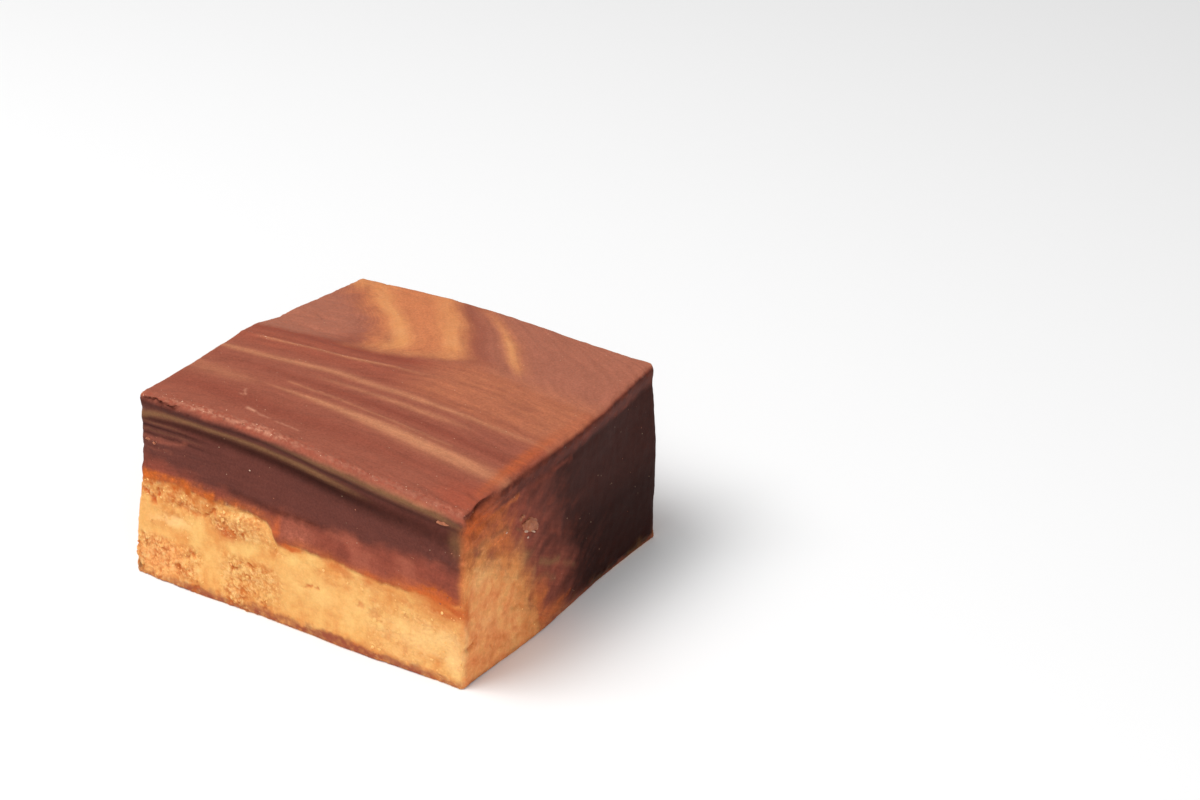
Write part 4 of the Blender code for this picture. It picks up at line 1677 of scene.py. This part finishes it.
@dataclass
class PeanutLayer(FudgeLayer):
    """The lower layer of golden peanut fudge, which crumbles under the knife, lengths in millimetres.

    Attributes:
        large_lump: Width and height of the larger lumps.
        small_lump: Width and height of the smaller lumps.
    """

    layer: Layer = Layer.PEANUT
    crumbly_front: tuple[Patch, ...] = (
        Patch((-2.0, 10.5), (-1.0, 6.0), 1.15),
        Patch((-2.0, 12.6), (10.8, 15.5), 0.85),
        Patch((13.5, 22.5), (-1.0, 7.4), 1.0),
        Patch((11.5, 23.5), (10.0, 15.5), 1.3),
        Patch((36.0, 52.0), (-1.0, 9.0), 0.4),
        Patch((26.0, 50.0), (8.5, 12.5), 0.2),
        Patch((2.0, 9.0), (7.5, 10.5), 0.4),
    )
    large_lump: Pair = (1.25, 0.20)
    small_lump: Pair = (0.55, 0.16)
    crack_depth: float = 0.06
    shaded_pit_depth: float = 0.18

    def crumbliness(self, skin: Skin) -> Array:
        """How crumbly each point is, from 0 to 1.

        Args:
            skin: The layer's points.

        Returns:
            One share for each point.
        """
        front = np.max([patch.mask(skin.x, skin.level) for patch in self.crumbly_front], axis=0)
        patches = smoothstep(-0.2, 0.4, clouds(skin.places / MM, 7.0, 2, 15.0))
        elsewhere = 0.25 + 0.6 * patches
        shares = skin.sides
        others = shares[Side.BACK] + shares[Side.LEFT]
        return np.clip(front, 0.0, 1.0) * shares[Side.FRONT] + 0.2 * shares[Side.RIGHT] + elsewhere * others

    def relief(self, skin: Skin, masks: Masks) -> tuple[Array, Array]:
        """Lumps, cracks and pits where the fudge crumbled, and faint drag marks elsewhere.

        Args:
            skin: The layer's points.
            masks: Their masks; painted shade in the pits and cracks and painted highlights on the lump tops
                are added.

        Returns:
            How far each point moves outwards, and how far upwards, in millimetres.
        """
        places = skin.places / MM
        crumbly = self.crumbliness(skin)
        warped = places + 0.45 * np.stack([clouds(places, 1.0, 3, seed) for seed in (61.0, 62.0, 63.0)],
                                          axis=1)
        core, joint = pebbles(warped, self.large_lump[0], 1.0)
        small_core, small_joint = pebbles(warped, self.small_lump[0], 4.0)
        slow = clouds(places, 3.5, 4, 2.0)
        rough = clouds(places, 0.9, 4, 22.0)
        drag = clouds(places * np.array([0.15, 0.15, 1.0]), 0.9, 3, 5.0)
        uneven = crumbly * smoothstep(-0.35, 0.35, slow + 0.4 * rough)
        crack = fall(0.02, 0.22, joint)
        shaded_pit = smoothstep(0.32, 0.55, clouds(places, 1.7, 4, 9.0)) * crumbly
        lumps = self.large_lump[1] * (core - 0.4) + self.small_lump[1] * (small_core - 0.4)
        push = uneven * (lumps - self.crack_depth * crack) + 0.12 * crumbly * rough - self.shaded_pit_depth * shaded_pit
        push = push + 0.07 * slow + 0.03 * drag * (1.0 - crumbly)
        # Painted shade: the cracks and pits are coloured a darker orange.
        small_crack = fall(0.02, 0.2, small_joint)
        sunk = uneven * np.maximum(0.4 * crack, 0.45 * small_crack) + 0.8 * shaded_pit
        raise_mask(masks, "shaded_pit", np.clip(sunk, 0.0, 1.0) * masks["gold"] * (0.75 + 0.4 * slow))
        raise_mask(masks, "crumbly", np.clip(1.1 * crumbly * (0.7 + 0.5 * slow), 0.0, 1.0))
        # Painted highlight: the tops of the small lumps are made paler.
        lit = uneven * smoothstep(0.5, 0.8, small_core) * (1.0 - masks["shaded_pit"])
        raise_mask(masks, "pale", 0.45 * lit * masks["gold"])
        return push, 0.0 * push


@dataclass
class ChocolateLayer(FudgeLayer):
    """The upper layer of chocolate fudge, with its poured top, dragged sides and torn lip, in millimetres."""

    layer: Layer = Layer.CHOCOLATE
    drag_height: float = 0.05
    flow_height: float = 0.07
    lip_height: float = 0.12

    def front_relief(self, skin: Skin) -> Array:
        """The ledge, the notches, the crack under the lip and the torn right end of the front side.

        Args:
            skin: The layer's points.

        Returns:
            How far each point moves outwards, in millimetres.
        """
        s, level = skin.x, skin.level
        ledge = between(16.8, 19.3, 0.5, level) * fall(5.0, 8.0, s)
        push = 0.12 * ledge
        push = push - 0.45 * (spot(s, level, (0.0, 23.2), (0.9, 0.35))
                              + spot(s, level, (0.0, 17.9), (1.0, 0.3)))
        push = push + 0.3 * spot(s, level, (0.0, 14.9), (0.6, 0.7))
        ragged = clouds(flat_places(s, level), 0.7, 3, 19.0)
        wavy = level + 0.15 * np.sin(1.7 * s) + 0.35 * ragged
        crack = hill(24.75, 0.2, wavy) * smoothstep(-0.35, 0.1, ragged)
        push = push - crack * soft_line(((0, 0.1), (1.2, 0.55), (4.5, 0.5), (7, 0.2), (16, 0.14),
                                         (20, 0.0)), s)
        push = push - 0.25 * hill(17.5, 0.3, wavy) * smoothstep(43.0, 46.0, s)
        return push

    def right_relief(self, skin: Skin) -> Array:
        """The tear under the lip and the scratch on the right side.

        Args:
            skin: The layer's points.

        Returns:
            How far each point moves outwards, in millimetres.
        """
        s, level = skin.y, skin.level
        wavy = level + 0.2 * np.sin(1.3 * s)
        push = -0.6 * hill(24.8, 0.3, wavy - 0.06 * s) * fall(4.0, 8.0, s)
        push = push - 0.3 * spot(s, level, (0.0, 19.0), (1.0, 1.2)) + 0.25 * spot(s, level, (0.0, 21.3),
                                                                                  (1.5, 0.8))
        scratch = hill(8.3 - 0.33 * (s - 19.0), 0.22, level) * between(19.0, 25.0, 1.0, s)
        return push - 0.12 * scratch

    def top_relief(self, skin: Skin, masks: Masks) -> Array:
        """Folds of the pour, the creases at the left back, the light fold and the torn lip.

        Args:
            skin: The layer's points.
            masks: Their masks.

        Returns:
            How far each point moves upwards, in millimetres.
        """
        flow = np.stack([masks["along"], masks["across"], 0.0 * skin.x], axis=1)
        plan = flat_places(skin.x, skin.y)
        streaks = clouds(flow * np.array([0.10, 1.0, 1.0]), 1.4, 3, 4.0)
        slow = clouds(plan, 6.0, 3, 8.0)
        crease = fall(0.0, 0.16, np.abs(clouds(plan * np.array([0.35, 1.0, 1.0]), 3.0, 3, 6.0)))
        crease = crease * fall(8.0, 15.0, skin.x) * smoothstep(23.0, 26.0, skin.y)
        fold = hill(soft_line(self.marbling.top_tans[4].path, skin.x), 0.4, skin.y) * fall(22.0, 32.0, skin.x)
        scuffs = clouds(plan * np.array([1.0, 1.4, 1.0]), 0.8, 4, 17.0)
        lip = between(0.1, 1.4, 0.6, skin.y + 0.5 * scuffs) * (0.3 + 1.2 * scuffs)
        return self.flow_height * streaks + 0.09 * slow - 0.10 * crease + 0.12 * fold + self.lip_height * lip

    def relief(self, skin: Skin, masks: Masks) -> tuple[Array, Array]:
        """The relief of all the chocolate's sides and of its top.

        Args:
            skin: The layer's points.
            masks: Their masks.

        Returns:
            How far each point moves outwards, and how far upwards, in millimetres.
        """
        places = skin.places / MM
        drag = clouds(places * np.array([0.06, 0.06, 1.0]), 0.9, 3, 5.0)
        slow = clouds(places, 5.0, 3, 2.0)
        rough = clouds(places, 1.1, 4, 21.0)
        front, right = skin.sides[Side.FRONT], skin.sides[Side.RIGHT]
        drawn = front * spot(skin.x, skin.level, (4.0, 20.6), (9.0, 1.6))
        torn = front * smoothstep(40.0, 45.0, skin.x) * smoothstep(16.0, 18.0, skin.level)
        under_lip = between(24.4, 26.5, 0.6, skin.level)
        push = self.drag_height * drag * (1.0 + 1.4 * drawn) + 0.08 * slow
        push = push + (0.03 + 0.10 * torn + 0.12 * under_lip * np.maximum(front, right)) * rough
        push = push + front * self.front_relief(skin) + right * self.right_relief(skin)
        return push, self.top_relief(skin, masks)


# ----- Crumbs, grains and flakes -----


def finish_crumbs(mesh: bmesh.types.BMesh, name: str, finish: CrumbFinish) -> bpy.types.Object:
    """Turns a mesh of crumbs or lumps into a dressed piece.

    Args:
        mesh: The mesh, which is freed.
        name: The piece's name.
        finish: Its material.

    Returns:
        The new object.
    """
    data = bpy.data.meshes.new(name)
    mesh.to_mesh(data)
    mesh.free()
    data.shade_smooth()
    data.set_sharp_from_angle(angle=SHARP_ON_CRUMBS)
    data.materials.append(finish.material())
    piece = add_to_scene(name, data)
    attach(piece, "root")
    return piece


@dataclass
class CrumbScatter:
    """Small pieces of one kind, strewn over a layer where a weight says so.

    Attributes:
        slot: The record's slot; not used.
        size: Smallest and largest width, in millimetres.
        flatness: Thickness as a share of the width.
        sunk: How deep each sits in the surface, as a share of its width.
    """

    name: str
    finish: CrumbFinish
    slot: str
    count: int
    size: Pair
    flatness: float = 0.75
    sunk: float = 0.15
    seed: int = 1

    def build(self, layer: FudgeLayer, weight: Array) -> bpy.types.Object:
        """Makes the piece.

        Args:
            layer: The layer that carries it.
            weight: How likely a crumb is at each of the layer's points.

        Returns:
            The new object.
        """
        chance = np.random.default_rng(self.seed)
        data = layer.piece.data
        weight = np.clip(weight, 0.0, None)
        chosen = chance.choice(len(weight), size=self.count, replace=False, p=weight / weight.sum())
        mesh = bmesh.new()
        for index in sorted(chosen):
            vertex = data.vertices[int(index)]
            width = self.size[0] + (self.size[1] - self.size[0]) * chance.random() ** 2.2
            self.add_crumb(mesh, vertex.co.copy(), vertex.normal.copy(), width * MM, chance)
        return finish_crumbs(mesh, self.name, self.finish)

    def add_crumb(
        self, mesh: bmesh.types.BMesh, place: Vector, normal: Vector, width: float,
        chance: np.random.Generator
    ) -> None:
        """Adds one uneven crumb.

        Args:
            mesh: The mesh to add it to.
            place: Where it sits.
            normal: The way the surface faces there.
            width: Its width in metres.
            chance: Where the random choices come from.
        """
        made = bmesh.ops.create_icosphere(mesh, subdivisions=1, radius=width / 2.0)
        squeeze = Vector((chance.uniform(0.6, 1.3), chance.uniform(0.5, 1.0),
                          self.flatness * chance.uniform(0.7, 1.2)))
        turn = normal.to_track_quat("Z", "Y").to_matrix() @ Matrix.Rotation(chance.uniform(0.0, math.tau),
                                                                            3, "Z")
        middle = place + normal * width * (0.5 * self.flatness - self.sunk)
        for vert in made["verts"]:
            uneven = 1.0 + chance.uniform(-0.28, 0.28)
            local = Vector((vert.co.x * squeeze.x, vert.co.y * squeeze.y, vert.co.z * squeeze.z)) * uneven
            vert.co = middle + turn @ local
            vert.co.z = max(vert.co.z, LOWEST_CRUMB)


@dataclass(frozen=True)
class Lump:
    """One lump that the knife left on a side, in millimetres.

    Attributes:
        middle: Its place along the side and its height.
        size: Its length, width and thickness.
        tilt: How far its length rises, in degrees.
    """

    side: Side
    middle: Pair
    size: Triple
    tilt: float = 0.0

    def add(self, mesh: bmesh.types.BMesh, layer: FudgeLayer) -> None:
        """Adds the lump, half sunk in the side.

        Args:
            mesh: The mesh to add it to.
            layer: The layer that it sticks to.
        """
        skin = layer.skin
        away = (skin.along(self.side) - self.middle[0]) ** 2 + (skin.level - self.middle[1]) ** 2
        away = away + OUT_OF_REACH * (skin.sides[self.side] * skin.on_wall < 0.5)
        place = layer.piece.data.vertices[int(np.argmin(away))].co
        out = Vector((*self.side.value, 0.0))
        along = Vector((1.0, 0.0, 0.0)) if out.x == 0.0 else Vector((0.0, 1.0, 0.0))
        frame_axes = Matrix((along, Vector((0.0, 0.0, 1.0)), out)).transposed()
        turn = frame_axes @ Matrix.Rotation(math.radians(self.tilt), 3, "Z")
        made = bmesh.ops.create_icosphere(mesh, subdivisions=4, radius=0.5)
        for vert in made["verts"]:
            seed = Vector((*self.middle, 0.0))
            rough = 0.30 * noise.fractal(vert.co * 3.0 + seed, 0.8, 2.0,
                                         4) + 0.10 * noise.noise(vert.co * 11.0 + seed)
            squared = vert.co * (1.0 + rough)
            sized = Vector(part * size * MM for part, size in zip(squared, self.size))
            vert.co = place + turn @ sized


@dataclass
class StuckLumps:
    """Lumps of one kind that stick to a layer, as one piece with one finish."""

    name: str
    finish: CrumbFinish
    slot: str
    lumps: tuple[Lump, ...]

    def build(self, layer: FudgeLayer) -> bpy.types.Object:
        """Makes the piece on a layer."""
        mesh = bmesh.new()
        for lump in self.lumps:
            lump.add(mesh, layer)
        return finish_crumbs(mesh, self.name, self.finish)


# ----- Studio -----


@dataclass
class Studio:
    """The pale floor, the soft light and the camera, in metres and watts.

    Attributes:
        sky: Brightness of the surroundings.
        camera_turn: The camera's yaw, pitch and roll in degrees.
        lens: Focal length in millimetres.
    """

    floor_width: float = 6.0
    sky: float = 0.36
    key_power: float = 4.4
    key_place: Triple = (-0.20, -0.26, 0.62)
    key_width: float = 0.45
    fill_power: float = 1.12
    fill_place: Triple = (0.45, -0.35, 0.22)
    fill_width: float = 0.5
    camera_place: Triple = (192.41 * MM, -263.38 * MM, 194.44 * MM)
    camera_turn: Triple = (31.66, 27.67, 1.81)
    lens: float = 85.0

    def build_floor(self) -> bpy.types.Object:
        """Makes the floor."""
        mesh = bmesh.new()
        bmesh.ops.create_grid(mesh, x_segments=8, y_segments=8, size=self.floor_width / 2.0)
        bmesh.ops.translate(mesh, verts=mesh.verts, vec=(0.0, 0.0, -FLOOR_DROP))
        data = bpy.data.meshes.new("studio_floor")
        mesh.to_mesh(data)
        mesh.free()
        data.materials.append(FloorFinish().material())
        floor = add_to_scene("studio_floor", data)
        return floor

    def build_light(self, name: str, power: float, place: Triple, width: float) -> bpy.types.Object:
        """Sets up one large soft light, turned to the object.

        Args:
            name: The light's name.
            power: Its power in watts.
            place: Where it hangs.
            width: Its width in metres.

        Returns:
            The new light.
        """
        data = bpy.data.lights.new(name, "AREA")
        data.shape = "SQUARE"
        data.size = width
        data.energy = power
        light = add_to_scene(name, data)
        light.location = place
        towards = Vector((0.0, 0.0, 0.01)) - Vector(place)
        light.rotation_euler = towards.to_track_quat("-Z", "Y").to_euler()
        return light

    def build_world(self) -> bpy.types.World:
        """Surrounds the object with even white light, behind a white backdrop."""
        world = bpy.data.worlds.new("studio_world")
        bpy.context.scene.world = world
        world.use_nodes = True
        wiring = Wiring(world.node_tree)
        world.node_tree.nodes.clear()
        seen = wiring.node("ShaderNodeLightPath").outputs["Is Camera Ray"]
        strength = wiring.spread(seen, 0.0, 1.0, self.sky, 1.0)
        light = wiring.node("ShaderNodeBackground", {"Color": (1.0, 1.0, 1.0, 1.0), "Strength": strength})
        wiring.node("ShaderNodeOutputWorld", {"Surface": light.outputs[0]})
        return world

    def build_camera(self) -> bpy.types.Object:
        """Sets up the camera and makes it the scene's."""
        yaw, pitch, roll = (math.radians(angle) for angle in self.camera_turn)
        data = bpy.data.cameras.new("studio_camera")
        data.lens = self.lens
        data.sensor_width = SENSOR_WIDTH
        data.clip_start = 0.01
        camera = add_to_scene("studio_camera", data)
        turn = Matrix.Rotation(yaw, 4, "Z") @ Matrix.Rotation(math.pi / 2.0 - pitch, 4, "X")
        turn = turn @ Matrix.Rotation(roll, 4, "Z")
        camera.matrix_world = Matrix.Translation(self.camera_place) @ turn
        bpy.context.scene.camera = camera
        return camera

    def build(self) -> None:
        """Makes the whole studio."""
        self.build_floor()
        self.build_light("studio_key", self.key_power, self.key_place, self.key_width)
        self.build_light("studio_fill", self.fill_power, self.fill_place, self.fill_width)
        self.build_world()
        self.build_camera()
        scene = bpy.context.scene
        scene.view_settings.view_transform = "Standard"
        scene.view_settings.look = "None"


# ----- The whole square -----


@dataclass
class FudgeSquare:
    """The whole square: both layers and everything that sits on them."""

    block: Block = Block()
    marbling: Marbling = Marbling()
    torn_lumps: tuple[Lump, ...] = (
        Lump(Side.RIGHT, (14.6, 16.8), (3.9, 1.7, 0.9), -27.0),
        Lump(Side.RIGHT, (12.7, 19.0), (0.8, 0.4, 0.25), -30.0),
        Lump(Side.FRONT, (46.8, 23.3), (1.7, 0.6, 0.45), 8.0),
        Lump(Side.FRONT, (1.3, 19.1), (0.8, 0.3, 0.3), 5.0),
        Lump(Side.FRONT, (2.3, 18.9), (0.5, 0.3, 0.3), -20.0),
    )
    # Whitish sugar crystals, whose pale colour partly stands in for glints, as at the lower edge of the large
    # torn lump.
    crystals: tuple[Lump, ...] = (
        Lump(Side.RIGHT, (15.3, 15.9), (1.2, 0.22, 0.7), -35.0),
        Lump(Side.RIGHT, (13.3, 16.7), (0.35, 0.2, 0.8), 40.0),
        Lump(Side.RIGHT, (14.1, 15.4), (0.35, 0.2, 0.25), 0.0),
        Lump(Side.RIGHT, (9.1, 18.6), (0.3, 0.2, 0.2), 0.0),
        Lump(Side.FRONT, (17.6, 19.6), (0.2, 0.18, 0.15), 0.0),
    )

    def find_shift(self) -> Array:
        """How far the block's own middle is from the place of the CAD."""
        grid = np.linspace(-1.0, 1.0, 41)
        a, b = (axis.ravel() for axis in np.meshgrid(grid, grid))
        slices = [self.block.place(flat_places(a, b, c), 0.0 * a, Layer.PEANUT) for c in grid[::4]]
        outline = np.concatenate(slices)
        low, high = (np.array(corner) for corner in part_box(Layer.PEANUT.value))
        middle = (outline.min(axis=0) + outline.max(axis=0)) / 2.0 - (low + high) / 2.0
        return np.array([middle[0], middle[1], 0.0])

    def build(self) -> list[bpy.types.Object]:
        """Makes all the pieces."""
        shift = self.find_shift()
        peanut = PeanutLayer(self.block, self.marbling,
                             FudgeFinish("peanut_fudge_skin", glow=0.22, glow_depth=0.8), shift)
        chocolate = ChocolateLayer(self.block, self.marbling,
                                   FudgeFinish("chocolate_fudge_skin", sheen=0.03), shift)
        pieces = [peanut.build(), chocolate.build()]
        pieces.extend(self.build_crumbs(peanut, chocolate))
        return pieces

    def build_crumbs(self, peanut: PeanutLayer, chocolate: ChocolateLayer) -> list[bpy.types.Object]:
        """Strews the crumbs, the sugar grains and the flakes.

        Args:
            peanut: The lower layer.
            chocolate: The upper layer.

        Returns:
            The new objects.
        """
        gold = CrumbFinish("gold_crumb", (250, 205, 135), (232, 158, 82))
        sugar = CrumbFinish("sugar_grain", (232, 196, 170), (200, 140, 108), 0.45, 0.0)
        cocoa = CrumbFinish("chocolate_crumb", (170, 104, 76), (110, 60, 46), 0.5, 0.08)
        skin, masks = peanut.skin, peanut.masks
        on_side = (np.abs(skin.cube[:, 2]) < 0.98) & (skin.on_wall > 0.9) & (skin.level > 1.6)
        crumbly = peanut.crumbliness(skin) * masks["gold"] * on_side
        gold_crumbs = CrumbScatter("peanut_crumbs", gold, "peanut_fudge", 220, (0.2, 0.6), 0.55, 0.25, 3)
        top, marks = chocolate.skin, chocolate.masks
        lip = top.on_top * fall(1.0, 2.2, top.y) * (0.2 + marks["pale"])
        grains = CrumbScatter("sugar_grains", sugar, "chocolate_fudge", 90, (0.1, 0.24), 0.4, 0.3, 5)
        fold = hill(soft_line(self.marbling.top_tans[4].path, top.x), 0.35, top.y) * fall(16.0, 26.0, top.x)
        scratch = hill(4.5, 0.3, top.y) * between(13.0, 22.0, 1.0, top.x)
        strewn = 0.001 * top.on_top
        walls = top.on_wall * (1.0 - top.on_top) * (top.cube[:, 2] < 0.97)
        front = walls * top.sides[Side.FRONT] * (0.06 + 3.0 * spot(top.x, top.level, (2.2, 19.2), (2.2, 0.5)))
        flakes = CrumbScatter("chocolate_crumbs", cocoa, "chocolate_fudge", 60, (0.15, 0.4), 0.5, 0.25, 7)
        torn_fudge = CrumbFinish("torn_fudge", (190, 124, 92), (140, 78, 56), 0.5, 0.05, 0.1)
        crystal = CrumbFinish("sugar_crystal", (232, 208, 188), (204, 168, 142), 0.45, 0.0)
        lumps = StuckLumps("torn_lumps", torn_fudge, "chocolate_fudge", self.torn_lumps)
        crystals = StuckLumps("sugar_crystals", crystal, "chocolate_fudge", self.crystals)
        return [
            lumps.build(chocolate),
            crystals.build(chocolate),
            gold_crumbs.build(peanut, 0.02 * on_side + crumbly),
            grains.build(chocolate, lip + top.on_top * (1.2 * fold + 1.0 * scratch) + strewn),
            flakes.build(chocolate, front + 0.015 * walls + 0.6 * lip),
        ]


def main() -> None:
    """Builds the square and the studio, and reports each piece."""
    logging.basicConfig(level=logging.INFO, format="%(message)s")
    for piece in FudgeSquare().build():
        log.info("%s: %d faces", piece.name, len(piece.data.polygons))
    Studio().build()


if __name__ == "__main__":
    main()
